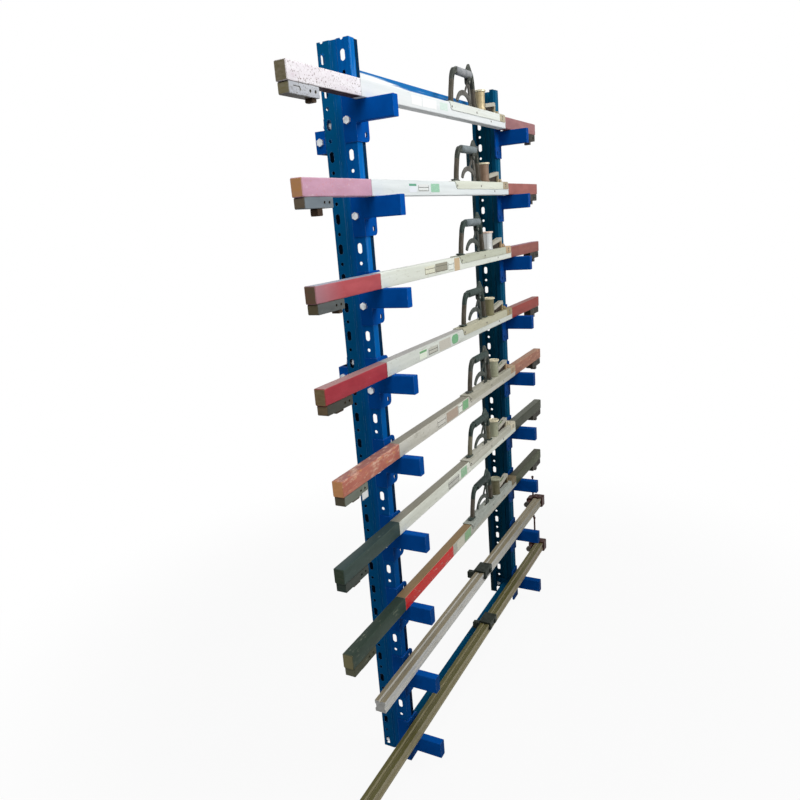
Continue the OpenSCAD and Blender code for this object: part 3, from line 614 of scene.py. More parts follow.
class Form:
    """A mesh that is built in a tool's own millimetres and then set into the frame."""

    round_steps = 2
    round_above = math.radians(32)
    smooth_below = math.radians(34)

    def __init__(self, name: str, home: Matrix) -> None:
        """Starts an empty mesh.

        Args:
            name: The piece's name.
            home: Where the tool's own millimetres lie in the frame, in metres.
        """
        self.name = name
        self.home = home
        self.mesh = bmesh.new()

    def join(self, part: bmesh.types.BMesh, bevel: float) -> Form:
        """Adds a part, after rounding its sharp edges.

        Args:
            part: The part's own mesh, which is used up.
            bevel: Radius of the rounding, in millimetres, or 0 for none.

        Returns:
            This form, for the next part.
        """
        bmesh.ops.recalc_face_normals(part, faces=part.faces)
        if bevel:
            shared = [e for e in part.edges if len(e.link_faces) == 2]
            sharp = [e for e in shared if e.calc_face_angle() > self.round_above]
            bmesh.ops.bevel(part, geom=sharp, offset=bevel, segments=self.round_steps, affect="EDGES",
                            clamp_overlap=True)
        carrier = bpy.data.meshes.new("part")
        part.to_mesh(carrier)
        part.free()
        self.mesh.from_mesh(carrier)
        bpy.data.meshes.remove(carrier)
        return self

    def skin(self, rings: Sequence[Ring], bevel: float = 0.0) -> Form:
        """Joins rings of equal length one after another, with a face over each end.

        Args:
            rings: Rings of points in the tool's own millimetres.
            bevel: Radius of the rounding.

        Returns:
            This form.
        """
        part = bmesh.new()
        rows = [[part.verts.new(p) for p in ring] for ring in rings]
        count = len(rows[0])
        for first, second in zip(rows, rows[1:]):
            for k in range(count):
                part.faces.new((first[k], first[(k + 1) % count], second[(k + 1) % count], second[k]))
        part.faces.new(list(reversed(rows[0])))
        part.faces.new(rows[-1])
        return self.join(part, bevel)

    def slab(self, outline: Sequence[Pair], y: float, thick: float, bevel: float = 0.0) -> Form:
        """A plate with an outline in X and Z, from y over its thickness."""
        return self.skin([[Vector((x, y + t, z)) for x, z in outline] for t in (0.0, thick)], bevel)

    def run(self, outline: Sequence[Pair], x: float, length: float, bevel: float = 0.0) -> Form:
        """A bar with an outline in Y and Z, from x over its length."""
        return self.skin([[Vector((x + t, y, z)) for y, z in outline] for t in (0.0, length)], bevel)

    def brick(self, low: Triple, high: Triple, bevel: float = 0.0) -> Form:
        """A straight block between two corners."""
        outline = [(low[0], low[2]), (high[0], low[2]), (high[0], high[2]), (low[0], high[2])]
        return self.slab(outline, low[1], high[1] - low[1], bevel)

    def lathe(self, profile: Sequence[Pair], centre: Triple, axis: int, steps: int = 32) -> Form:
        """Turns a profile of distance along the axis and radius.

        Args:
            profile: Pairs of the place along the axis and the radius there.
            centre: A point on the axis.
            axis: X, Y or Z.
            steps: Faces round the axis.

        Returns:
            This form.
        """
        rings = []
        for along, radius in profile:
            ring = []
            for a in turns(steps):
                flat = [radius * math.cos(a), radius * math.sin(a)]
                flat.insert(axis, along)
                ring.append(Vector(flat) + Vector(centre))
            rings.append(ring)
        return self.skin(rings)

    def sweep(self, path: Sequence[Sequence[float]], section: Sequence[Pair]) -> Form:
        """Draws a section along a path in the tool's middle plane.

        Args:
            path: Rows of x, z, the half width in the plane and the half thickness across it.
            section: Points of a unit section: across the path in the plane, and along Y.

        Returns:
            This form.
        """
        rings = []
        for k, (x, z, half, thick) in enumerate(path):
            before, after = path[max(k - 1, 0)], path[min(k + 1, len(path) - 1)]
            ahead = Vector((after[0] - before[0], 0, after[1] - before[1])).normalized()
            side = Vector((-ahead.z, 0, ahead.x))
            middle = Vector((x, 0, z))
            rings.append([middle + side * (half * u) + Vector((0, thick * v, 0)) for u, v in section])
        return self.skin(rings)

    def cut(self, tool: Form) -> Form:
        """Takes another form's solid out of this one."""
        body, blade = self.raw("body"), tool.raw("blade")
        change = body.modifiers.new("cut", "BOOLEAN")
        change.object = blade
        change.operation = "DIFFERENCE"
        change.solver = "EXACT"
        result = bpy.data.meshes.new_from_object(body.evaluated_get(bpy.context.evaluated_depsgraph_get()))
        self.mesh = bmesh.new()
        self.mesh.from_mesh(result)
        for thing in (body, blade):
            shape = thing.data
            bpy.data.objects.remove(thing)
            bpy.data.meshes.remove(shape)
        bpy.data.meshes.remove(result)
        return self

    def raw(self, name: str) -> bpy.types.Object:
        """Puts the mesh as it is into the scene."""
        shape = bpy.data.meshes.new(name)
        self.mesh.to_mesh(shape)
        self.mesh.free()
        made = bpy.data.objects.new(name, shape)
        bpy.context.scene.collection.objects.link(made)
        return made

    def wobble(self, depth: float, size: float) -> Form:
        """Moves the points a little, as rough handling leaves a block.

        Args:
            depth: Largest move, in millimetres.
            size: Width of one dent, in millimetres.

        Returns:
            This form.
        """
        shift = self.home.translation * PER_M
        for vert in self.mesh.verts:
            vert.co += noise.noise_vector((vert.co + shift) / size) * depth
        return self

    def place(self, finish: Finish, body: str, slot: str, *replaced: str) -> None:
        """Sets the piece into the frame, dresses it and lets it ride on its body.

        Args:
            finish: The piece's finish.
            body: The CAD body that it moves with.
            slot: The record's material slot; not used.
            *replaced: CAD nodes that it stands for.
        """
        for face in self.mesh.faces:
            face.smooth = True
        for edge in self.mesh.edges:
            edge.smooth = len(edge.link_faces) == 2 and edge.calc_face_angle() < self.smooth_below
        self.mesh.transform(self.home @ Matrix.Scale(MM, 4))
        made = self.raw(self.name)
        made.data.materials.append(finish.material())
        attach(made, body)
        if replaced:
            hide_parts(*replaced)
        LOG.info("piece %s on %s", self.name, body)


def dress_node(frame: dict[str, Any], node: str, finish: Finish) -> None:
    """Gives a CAD node that stays its finish."""
    thing = frame["nodes"][node]
    thing.data.materials.clear()
    thing.data.materials.append(finish.material())
    LOG.info("node %s keeps its shape", node)


class Blue(Enum):
    """The rack's blues."""

    # The upright's front colour is painted light; its low and recess colours are painted shade.
    UPRIGHT = Enamel("upright enamel", "#0464b4", "#0556a4", "#1470bc", "#8fb6d6", rear="#045c8c",
                     low="#034484", recess_shade="#032c4c", recess_shade_low="#021430", front="#0a70c0")
    # Painted shade: the far upright is a darker copy of the upright's blues, for the shade it stands in.
    FAR_UPRIGHT_SHADED = Enamel("far upright shaded enamel", "#065c80", "#054c70", "#1478a0", "#8fb6c6", rear="#05506c",
                         low="#044060", recess_shade="#064a6c", recess_shade_low="#043450")
    # The arm's low colour is painted shade.
    ARM = Enamel("arm enamel", "#0456b0", "#044a9c", "#0c62c0", "#7d9fc8", 0.4, (60.0, 60.0, 60.0),
                 low="#043b77")
    # Painted shade: the far arms are a darker copy of the arm blue, for the shade they stand in.
    FAR_ARM_SHADED = Enamel("far arm shaded enamel", "#044a9a", "#044088", "#0a54a6", "#7d9fc8", 0.4, (60.0, 60.0, 60.0),
                     low="#043468")
    # The tie's low and recess colours are painted shade.
    TIE = Enamel("tie enamel", "#0456b0", "#044a9c", "#0c62c0", "#7d9fc8", 0.4, (60.0, 60.0, 60.0),
                 low="#043c84", recess_shade="#2c4650", recess_shade_low="#1c3440")
    # The upper beam's front and end-glare colours are painted light.
    UPPER_BEAM = Enamel("upper beam enamel", "#0a66b4", "#07509c", "#2f86cc", "#8fb6d6", 0.4,
                        (300.0, 20.0, 8.0), end_glare="#f2f5f6", front="#2a78b4")
    # Painted shade: a near-black blue for the liner that stands in for shade seen through the slots.
    SHADE_LINER = Enamel("shaded back enamel", "#031c30", "#02141f", "#062840", "#1c3448", 0.6)
    LOWER_BEAM = Enamel("lower beam enamel", "#045982", "#03486f", "#1c7ca8", "#7d9fb4", 0.4,
                        (300.0, 20.0, 20.0))


ZINC = BareMetal("zinc plate", "#dfe3e6", "#b4b9bd", 0.8, 0.4)
OILED = BareMetal("oiled steel", "#55514c", "#2f2b28", 0.9, 0.42)
BOLT_SCREW = BareMetal("screw head", "#8d8b84", "#5a5852", 0.9, 0.4)


@dataclass
class Rack:
    """The uprights, arms, beams, ties and bolts in their CAD shapes, with the welds added, and a dark liner
    as painted shade.
    """

    frame: dict[str, Any]
    arm_count: int = 9
    arm_pitch: float = 225.0
    first_arm: float = 140.0
    arm_w: float = 25.0
    arm_h: float = 50.0
    plate: float = 4.0
    weld: float = 3.2
    bead_steps: int = 12
    ripple: float = 2.1
    # A dark strip inside the rear wall stands in for the shade seen through the lower slots.
    shade_liner_from: float = 247.0
    shade_liner_to: float = 1935.0
    shade_liner_in: float = 8.0
    shade_liner_w: float = 18.0
    shade_liner_t: float = 1.1
    shade_liner_back: float = 3.2

    def build(self) -> None:
        """Dresses the nodes, lays the weld beads and closes the near upright's rear slots from within with a
        dark liner, a painted shade for what is seen through them.
        """
        finishes = {
            "near_upright": Blue.UPRIGHT,
            "far_upright": Blue.FAR_UPRIGHT_SHADED,
            "near_arms": Blue.ARM,
            "far_arms": Blue.FAR_ARM_SHADED,
            "upper_cross_beam": Blue.UPPER_BEAM,
            "lower_cross_beam": Blue.LOWER_BEAM,
            "wall_ties": Blue.TIE,
        }
        for node, blue in finishes.items():
            dress_node(self.frame, node, blue.value)
        dress_node(self.frame, "frame_bolts", ZINC)
        for side in ("near", "far"):
            self.welds(side)
        # Painted shade: a dark strip inside the rear wall, so the slots below the top rows look dark.
        low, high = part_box("near_upright")
        shade_liner = Form("near_upright_shade_liner", Matrix.Identity(4))
        left, back, top = low.x * PER_M + self.shade_liner_in, high.y * PER_M - self.shade_liner_back, high.z * PER_M
        shade_liner.brick((left, back, top - self.shade_liner_to),
                    (left + self.shade_liner_w, back + self.shade_liner_t, top - self.shade_liner_from))
        shade_liner.place(Blue.SHADE_LINER.value, "rack", "upright_paint")

    def welds(self, side: str) -> None:
        """Weld beads over and under each arm of one upright, where the tube meets its plate."""
        low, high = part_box(f"{side}_arms")
        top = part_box(f"{side}_upright")[1].z * PER_M
        left = low.x * PER_M if side == "near" else high.x * PER_M - self.arm_w
        right = left + self.arm_w
        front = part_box(f"{side}_upright")[0].y * PER_M - self.plate
        form = Form(f"{side}_arm_welds", Matrix.Identity(4))
        for k in range(self.arm_count):
            z = top - self.first_arm - k * self.arm_pitch
            self.bead(form, (left, z), (right, z), front)
            self.bead(form, (right, z - self.arm_h), (left, z - self.arm_h), front)
        form.place((Blue.ARM if side == "near" else Blue.FAR_ARM_SHADED).value, "rack", "arm_paint")

    def bead(self, form: Form, start: Pair, stop: Pair, y: float) -> None:
        """One rippled bead, thin at both its ends.

        Args:
            form: The form that takes the bead.
            start: Where it starts, in X and Z.
            stop: Where it ends, in X and Z.
            y: The plate's face.
        """
        rings = []
        for k in range(self.bead_steps + 1):
            t = k / self.bead_steps
            x, z = start[0] + (stop[0] - start[0]) * t, start[1] + (stop[1] - start[1]) * t
            end = 0.35 if k in (0, self.bead_steps) else 1.0
            size = self.weld * (0.75 + 0.25 * math.cos(k * self.ripple)) * end
            rings.append([Vector((x, y + size * math.sin(a), z + size * math.cos(a))) for a in turns(8)])
        form.skin(rings)


@dataclass(frozen=True)
class Mark:
    """A bare label on a bar's front: its stretch along the bar, its colours and its heights."""

    start: float
    width: float
    ground: str
    soil: str
    head: str = ""
    frame: str = ""
    low: float = 9.0
    high: float = 32.0
    oval: bool = False


@dataclass(frozen=True)
class GaugeLook:
    """What tells one gauge from the next: its colours, its labels, its fixed stop, pocket and tag."""

    bar: BarPaint
    saddle: BarPaint
    tan: BarPaint
    near: BlockPaint
    far: BlockPaint
    foot: BlockPaint
    handle: Casting
    grip: Casting
    trigger: Casting
    drum: BareMetal
    flange: BareMetal
    bar_slot: str
    block_slot: str
    stop_h: float
    marks: tuple[Mark, ...]
    stop_x: Pair = (44.0, 76.0)
    pocket: bool = False
    tag: bool = False
    post: Casting = Casting("handle post casting", "#655e55", "#524e43", "#8f887a", 0.4)
    level: BarPaint = BarPaint("level housing paint", "#b6b3a6", "#a29f90", "#7d7866", "#9a988a", 0.35)


STOP_IRON = Casting("rusty stop iron", "#4a3a2c", "#33281f", "#7d6a55", 0.4, 0.6, 0.2)
TONGUE = Casting("dark tongue iron", "#33291f", "#241d17", "#5f5344", 0.3, 0.55, 0.2)
FAR_FOOT = Casting("dark foot casting", "#3d3a34", "#292722", "#6d6a62", 0.4, 0.6, 0.3)
HANDLE = Casting("handle casting", "#4e524c", "#3a3e39", "#8d9188", 0.5)
GREEN_HANDLE = Casting("green handle casting", "#3d4a45", "#2b3632", "#7f8a82", 0.4)
LIGHT_GRIP = Casting("light grip", "#9b9c9f", "#808588", "#c3c8c8", 0.4, 0.45)
GREY_GRIP = Casting("grey grip", "#7b8588", "#667072", "#b0b6b6", 0.4, 0.45)
GREEN_GRIP = Casting("green grip", "#3d4a45", "#313d39", "#87948f", 0.4, 0.5)
DARK_GRIP = Casting("dark green grip", "#2e3835", "#262f2c", "#6c7772", 0.4, 0.5)
TRIGGER = Casting("trigger casting", "#66645e", "#4e4c46", "#a4a49c", 0.4, 0.45, 0.3)
DARK_TRIGGER = Casting("dark trigger casting", "#474d47", "#363b36", "#858a84", 0.4, 0.5, 0.2)
BRASS = BareMetal("tan drum", "#b0a07c", "#978864", 0.35, 0.4, (40.0, 40.0, 90.0))
KHAKI = BareMetal("khaki drum", "#757050", "#645f40", 0.3, 0.42, (40.0, 40.0, 90.0))
GREY_KHAKI = BareMetal("grey khaki drum", "#9fa18a", "#878871", 0.35, 0.42, (40.0, 40.0, 90.0))
OLIVE = BareMetal("olive drum", "#5f5b40", "#4f4b34", 0.3, 0.42, (40.0, 40.0, 90.0))
BROWN = BareMetal("brown bakelite drum", "#7c6450", "#66503e", 0.2, 0.4, (40.0, 40.0, 90.0))
SILVER = BareMetal("silvery drum", "#c5c8c7", "#abaca6", 0.6, 0.32, (40.0, 40.0, 120.0))
PINK_GOLD = BareMetal("pink gold flange", "#dec9ba", "#c7ad9b", 0.4, 0.36)
PALE_BRASS = BareMetal("pale brass flange", "#dcd4ba", "#bfb594", 0.4, 0.36)

WHITE_SADDLE = BarPaint("white saddle paint", "#e7ebe7", "#d8dcd2", "#9c9783", "#a5a294", 0.35)
PALE_SADDLE = BarPaint("pale saddle paint", "#e0e4d6", "#cdd0bf", "#938d76", "#a5a294", 0.4)
CREAM_SADDLE = BarPaint("cream saddle paint", "#c4c8b6", "#b0b39e", "#817b62", "#989580", 0.5)
SAND_SADDLE = BarPaint("sand saddle paint", "#c2c0a8", "#aca88f", "#7d765b", "#958f78", 0.5)
GREY_SADDLE = BarPaint("grey saddle paint", "#b5b3a3", "#9e9b89", "#6f6a57", "#8c8975", 0.55)
CLAY_SADDLE = BarPaint("clay saddle paint", "#c2c1b4", "#abaa9a", "#7d7866", "#949180", 0.5)
SLATE_SADDLE = BarPaint("slate saddle paint", "#aaafa7", "#92988e", "#6c6c5e", "#878a7e", 0.6)

LOOKS = (
    GaugeLook(
        BarPaint("white bar paint", "#eaeded", "#dde3e4", "#b3b1a6", "#b8bdbd", 0.15), WHITE_SADDLE,
        BarPaint("pale tan end paint", "#b6ad93", "#9a8f72", "#6a5f49", "#8f8571", 0.6),
        BlockPaint("white block enamel", "#f4f1f4", "#e5dde3", "#cbb4bc", "#9a8e80", "#6e674f", 0.3,
                   speck="#6b544a", under_side="#4a342a"),
        BlockPaint("first far block enamel", "#a07071", "#8f6162", "#b98e8e", "#8a6450", "#7a4d40", 0.25),
        BlockPaint("white foot enamel", "#c2c5cb", "#b0b3ba", "#dcdde0", "#8d8a84", "#797150", 0.35,
                   speck="#7a7672", under_side="#3d3228"),
        HANDLE, LIGHT_GRIP, TRIGGER, BRASS, PALE_BRASS, "white_bar", "white_block", 8.0,
        (Mark(540, 60, "#f4f4f3", "#e9e9ea"), Mark(606, 88, "#f4f4f3", "#e6e6e8"),
         Mark(718, 52, "#cfe2d8", "#f2f5f4", low=12)), (88.0, 104.0), pocket=True),
    GaugeLook(
        BarPaint("second white bar paint", "#e6ecec", "#d6dddd", "#a8a89e", "#b0b6b6", 0.2), PALE_SADDLE,
        BarPaint("tan end paint", "#ad9f84", "#928468", "#625640", "#8a7e68", 0.6),
        BlockPaint("pink block enamel", "#cda0b6", "#c194a9", "#e2ccd4", "#b58a78", "#c18d5c", 0.45,
                   top="#e0d0d6", speck="#ca8b94"),
        BlockPaint("second far block enamel", "#a2625b", "#91544d", "#b98078", "#8a5a40", "#7a4d40", 0.2),
        BlockPaint("grey foot enamel", "#7a848b", "#6c767d", "#98a0a4", "#6d675c", "#6a5d4d", 0.15),
        HANDLE, GREY_GRIP, TRIGGER, BROWN, PALE_BRASS, "white_bar", "red_block", 16.0,
        (Mark(480, 44, "#e6eaf0", "#d8dde6", head="#4f9c7c"),
         Mark(534, 66, "#e2e5e3", "#b4b8b4", frame="#5f6460", low=11, high=30),
         Mark(614, 56, "#8fc4a4", "#e6f0e8")), (54.0, 74.0)),
    GaugeLook(
        BarPaint("cream bar paint", "#e4e8de", "#d4d8cb", "#9b9885", "#a8aaa0", 0.3), CREAM_SADDLE,
        BarPaint("warm tan end paint", "#bfa380", "#a28867", "#6f5c44", "#94826a", 0.6),
        BlockPaint("red block enamel", "#b9595e", "#a94b50", "#c98088", "#7a4a40", "#655745", 0.2,
                   top="#989daa", fade="#a87880", fade_from=(-760.0, -870.0)),
        BlockPaint("third far block enamel", "#90554b", "#7f463f", "#b28078", "#7c5140", "#6d4438", 0.2,
                   top="#8f6676"),
        BlockPaint("dull grey foot enamel", "#606564", "#535756", "#8c8f8b", "#57503f", "#5f5742", 0.2),
        GREEN_HANDLE, GREY_GRIP, DARK_TRIGGER, SILVER, PINK_GOLD, "cream_bar", "red_block", 9.0,
        (Mark(534, 68, "#dcdcc6", "#8c866e", frame="#6a6450"),
         Mark(604, 84, "#8a8774", "#c4c2ae", frame="#5c5848", high=34),
         Mark(694, 42, "#e6ebe2", "#b9bdb6", frame="#8c8e80", low=6),
         Mark(740, 40, "#c3a982", "#a88c64", low=1, high=39)), (90.0, 106.0)),
    GaugeLook(
        BarPaint("grey bar paint", "#d6dad2", "#c3c8c0", "#8a897a", "#9c9f98", 0.4, top="#a6a49f"),
        SAND_SADDLE,
        BarPaint("olive tan end paint", "#9e8f69", "#847653", "#5a4f3a", "#80745c", 0.65),
        BlockPaint("deep red block enamel", "#a63a44", "#96303a", "#b56a70", "#6b4032", "#837453", 0.18,
                   top="#a37a79"),
        BlockPaint("fourth far block enamel", "#933e36", "#82342b", "#b07a70", "#7a5040", "#6d4438", 0.2,
                   top="#8d564e"),
        BlockPaint("olive foot enamel", "#474740", "#3d3d37", "#84857a", "#57503f", "#77654d", 0.2),
        GREEN_HANDLE, GREEN_GRIP, DARK_TRIGGER, KHAKI, PALE_BRASS, "grey_bar", "red_block", 6.0,
        (Mark(472, 46, "#e2ead8", "#a6b89c", head="#5c9c62", low=6, high=30),
         Mark(530, 64, "#b9b9ac", "#8a8a7c", frame="#4a4a40", low=8, high=28),
         Mark(604, 82, "#bdb9ac", "#9a9686", low=4, high=34),
         Mark(696, 50, "#5ca06c", "#a8c8a0", low=7, high=35, oval=True))),
    GaugeLook(
        BarPaint("warm grey bar paint", "#cccabf", "#b8b6a9", "#7f7b69", "#97948a", 0.5, top="#858173"),
        GREY_SADDLE, BarPaint("brown tan end paint", "#b49c7d", "#978062", "#665640", "#8a7a62", 0.65),
        BlockPaint("worn red block enamel", "#bd7765", "#ab6557", "#e0bda6", "#c98a58", "#dfa16e", 0.75,
                   top="#9b675f"),
        BlockPaint("fifth far block enamel", "#a06e59", "#8a5b48", "#cfa48c", "#a87a58", "#7d5238", 0.6,
                   top="#a0785f"),
        BlockPaint("grey olive foot enamel", "#787d72", "#696e63", "#979b90", "#625f52", "#5c5646", 0.2),
        HANDLE, GREEN_GRIP, DARK_TRIGGER, GREY_KHAKI, PALE_BRASS, "grey_bar", "red_block", 6.0,
        (Mark(530, 62, "#cfcdc2", "#8c897c", frame="#5a574c"),
         Mark(598, 88, "#a38f7c", "#7f6e5e", low=5, high=35),
         Mark(690, 34, "#e4e8dc", "#b4b8a8", frame="#6c6c60", low=6, high=36),
         Mark(728, 46, "#5f9e66", "#a6c8a2", low=7, high=37)), tag=True),
    GaugeLook(
        BarPaint("olive white bar paint", "#e0e3d7", "#cccec0", "#878473", "#9b9c90", 0.45, top="#888576"),
        CLAY_SADDLE, BarPaint("pale olive end paint", "#d9d2bb", "#b7b098", "#6f6a57", "#948f7c", 0.6),
        BlockPaint("green black block enamel", "#3f4e49", "#35433e", "#6a7671", "#5a5a4e", "#324233", 0.25,
                   top="#364543"),
        BlockPaint("sixth far block enamel", "#3f4234", "#34382c", "#7f8275", "#5c5648", "#4a463b", 0.25,
                   top="#595c51"),
        BlockPaint("green black foot enamel", "#454b45", "#3b403b", "#6d766f", "#4e4e44", "#2c3d38", 0.15),
        GREEN_HANDLE, GREEN_GRIP, DARK_TRIGGER, GREY_KHAKI, PALE_BRASS, "grey_bar", "grey_block", 7.0,
        (Mark(612, 84, "#b4b4aa", "#5c5c52", frame="#45463e", low=5, high=30),
         Mark(712, 50, "#7fae84", "#dfe8dc", low=6, high=36)),
        post=Casting("sand post casting", "#8b8672", "#74705d", "#a8a492", 0.4)),
    GaugeLook(
        BarPaint("faded bar paint", "#b2b2a5", "#9c9d91", "#77756a", "#8c8d85", 0.55, top="#856c49",
                 mark="#c0251f", mark_stop=-268.0), SLATE_SADDLE,
        BarPaint("dark tan end paint", "#74674b", "#60533a", "#524a39", "#75694f", 0.65),
        BlockPaint("olive block enamel", "#39483e", "#303d34", "#8a8f7c", "#7a6f58", "#86815d", 0.4,
                   top="#303d34"),
        BlockPaint("seventh far block enamel", "#454b35", "#393d2b", "#8a8a76", "#6a5c48", "#52483a", 0.35,
                   top="#3f4032"),
        BlockPaint("brown green foot enamel", "#4a4c3a", "#3f4131", "#7c7d6c", "#5c543f", "#6c6e59", 0.3),
        GREEN_HANDLE, DARK_GRIP, DARK_TRIGGER, OLIVE, GREY_KHAKI, "grey_bar", "grey_block", 6.0,
        (Mark(655, 60, "#c3c1ae", "#a3a08c", low=4, high=36),
         Mark(722, 52, "#6f9a68", "#b4c4a4", low=7, high=37))),
)


@dataclass
class Gauge:
    """One bar gauge, in millimetres from its near end, its middle plane and the arm's top."""

    frame: dict[str, Any]
    number: int
    look: GaugeLook
    length: float = 1600.0
    bar_w: float = 30.0
    bar_h: float = 40.0
    near_block: float = 285.0
    far_block: float = 340.0
    block_round: float = 3.0
    block_chamfer: float = 1.6
    dent: float = 0.35
    dent_size: float = 24.0
    label_t: float = 0.25
    print_t: float = 0.15
    foot_l: float = 108.0
    foot_h: float = 24.0
    foot_in: float = 4.0
    foot_hole_r: float = 3.5
    slide_back: float = 54.0
    trigger_turn: float = 12.0
    saddle_x: float = 782.0
    saddle_l: float = 417.0
    saddle_drop: float = 21.0
    saddle_t: float = 2.5
    saddle_gap: float = 0.1
    slot_x: Pair = (944.0, 990.0)
    slot_half: float = 4.0
    grip_x: Pair = (875.0, 988.0)
    grip_z: float = 140.0
    grip_r: float = 11.6
    rib: float = 1.1
    rib_pitch: float = 9.4
    pivot_x: float = 967.0
    pivot_z: float = 118.0
    tread_z: float = 28.5
    drum_x: float = 1063.0
    drum_h: float = 62.0

    def __post_init__(self) -> None:
        """Finds the gauge's place from its trigger's pin and its stop's slide."""
        joints = {j["name"]: j for j in self.frame["record"]["behaviour"]["joints"]}
        self.key = f"gauge_{self.number}"
        slide = joints[f"{self.key}_stop_slide"]["axis"]
        pin = Vector(joints[f"{self.key}_trigger_pull"]["pos_m"])
        turn = Matrix.Rotation(math.atan2(-slide[1], -slide[0]), 4, "Z")
        self.home = Matrix.Translation(pin - turn @ Vector((self.pivot_x, 0, self.pivot_z)) * MM) @ turn
        self.saddle_top = self.bar_h + self.saddle_t
        self.saddle_end = self.saddle_x + self.saddle_l
        self.tube_end = self.length - self.far_block

    def form(self, name: str) -> Form:
        """Starts a piece of this gauge."""
        return Form(f"{self.key}_{name}", self.home)

    def on_bar(self, form: Form, finish: Finish) -> None:
        """Places a piece that is painted with the bar."""
        form.place(finish, self.key, self.look.bar_slot)

    def build(self) -> None:
        """Makes every piece of the gauge."""
        self.bar()
        self.saddle()
        self.saddle_screws()
        self.labels()
        self.blocks()
        self.feet()
        self.handle()
        self.grip()
        self.trigger()
        self.drum()
        self.level()
        dress_node(self.frame, f"{self.key}_feeler", OILED)

    def slot(self, low: float, high: float) -> Form:
        """The opening for the trigger's leg, from one height to another."""
        near, far = self.slot_x
        return self.form("slot").brick((near, -self.slot_half, low), (far, self.slot_half, high))

    def bar(self) -> None:
        """The painted tube, open for the trigger's leg under the saddle."""
        form = self.form("tube")
        outline = rounded((-self.bar_w / 2, 0), (self.bar_w / 2, self.bar_h), 2.2)
        form.run(outline, self.near_block, self.tube_end - self.near_block)
        form.cut(self.slot(self.bar_h - 4, self.bar_h + 5))
        form.place(self.look.bar, self.key, self.look.bar_slot, f"{self.key}_bar")

    def saddle(self) -> None:
        """The folded plate over the bar, and its end block with the button."""
        low, top, gap = self.bar_h - self.saddle_drop, self.saddle_top, self.saddle_gap
        inner, outer = self.bar_w / 2 + gap, self.bar_w / 2 + self.saddle_t
        hollow = [(-outer, low), (-inner, low), (-inner, self.bar_h + gap), (inner, self.bar_h + gap),
                  (inner, low), (outer, low)]
        fold = [(outer, top - 1.2), (outer - 1.2, top), (1.2 - outer, top), (-outer, top - 1.2)]
        form = self.form("saddle").run(hollow + fold, self.saddle_x, self.saddle_l)
        x = self.saddle_x
        corner = [(x - 1, low - 1), (x + 20, low - 1)] + arc((x + 20, low + 13), 13, 270, 180, 6)[1:]
        corner += [(x + 5, self.bar_h - 3), (x - 1, self.bar_h - 1)]
        form.cut(self.form("corner").slab(corner, -self.bar_w / 2 - 5, self.bar_w + 10))
        form.cut(self.slot(self.bar_h - 1, top + 1))
        self.on_bar(form, self.look.saddle)
        block = self.form("saddle_block")
        crown = [(outer, top - 2), (self.bar_w / 2, top + 2), (-self.bar_w / 2, top + 2), (-outer, top - 2)]
        block.run(hollow + crown, self.saddle_end + gap, self.tube_end - self.saddle_end - 8, bevel=0.5)
        block.lathe([(0, 6.8), (8, 6.9), (10.2, 5.6), (11, 3.0)], (self.saddle_end + 14, 0, top + 1), Z)
        self.on_bar(block, self.look.tan)

    def saddle_screws(self) -> None:
        """The screws that hold the saddle and its block on both sides, and the small one low on the bar."""
        outer = self.bar_w / 2 + self.saddle_t
        dome = ((-0.5, 3.6), (0.7, 3.4), (1.3, 2.2))
        screws = self.form("saddle_screws")
        for x, z in ((self.saddle_x + 15, 28), (self.saddle_x + 209, 28), (self.saddle_end + 26, 28),
                     (self.saddle_end + 26, 36)):
            for side in (-1, 1):
                screws.lathe([(side * (outer + out), radius) for out, radius in dome], (x, 0, z), Y, 16)
        small = [(-self.bar_w / 2 - out, radius) for out, radius in ((-0.3, 3.2), (0.8, 3.0), (1.2, 2.0))]
        screws.lathe(small, (1120, 0, 12), Y, 16)
        screws.place(BOLT_SCREW, self.key, "zinc_plate")

    def labels(self) -> None:
        """Bare labels on the bar's front, at the photo's places, each with its plain head or frame."""
        for name, mark in zip("abcde", self.look.marks):
            start, stop, low, high = mark.start, mark.start + mark.width, mark.low, mark.high
            radius = min(mark.width, high - low) / 2 - 0.2 if mark.oval else 1.2
            self.patch(f"label_{name}", (start, low), (stop, high), 0, mark.ground, mark.soil, radius)
            if mark.head:
                self.patch(f"label_{name}_head", (start + 1, high - 7), (stop - 1, high - 1), 1, mark.head,
                           "#86a090", 0.6)
            if mark.frame:
                for end, corner, far in (("foot", (start + 1, low + 0.8), (stop - 1, low + 2.7)),
                                         ("rule", (start + 1, high - 9.2), (stop - 1, high - 7.3)),
                                         ("near", (start + 0.8, low + 3), (start + 3, high - 3)),
                                         ("far", (stop - 3, low + 3), (stop - 0.8, high - 3))):
                    self.patch(f"label_{name}_{end}", corner, far, 1, mark.frame, mark.ground, 0.5)

    def patch(self, name: str, low: Pair, high: Pair, layer: int, colour: str, soil: str,
              radius: float) -> None:
        """One flat piece of a label, in the layer that it lies in on the bar's front.

        Args:
            name: The piece's name.
            low: Its lower corner in X and Z.
            high: Its upper corner in X and Z.
            layer: 0 on the bar, 1 on another piece.
            colour: The piece's colour.
            soil: The colour of its scuffs.
            radius: The rounding of its corners.
        """
        thick = self.print_t if layer else self.label_t
        front = -self.bar_w / 2 - self.label_t - self.print_t * layer
        vinyl = Sticker(f"printed vinyl {colour[1:]} {soil[1:]}", colour, soil)
        plate = self.form(name).slab(rounded(low, high, radius, 3), front, thick)
        plate.place(vinyl, self.key, self.look.bar_slot)

    def ring(self, x: float, inset: float) -> Ring:
        """The block's outline at a place along it, drawn in from its full size."""
        half, high = self.bar_w / 2 - inset, self.bar_h - inset
        return [Vector((x, y, z)) for y, z in rounded((-half, inset), (half, high), self.block_round)]

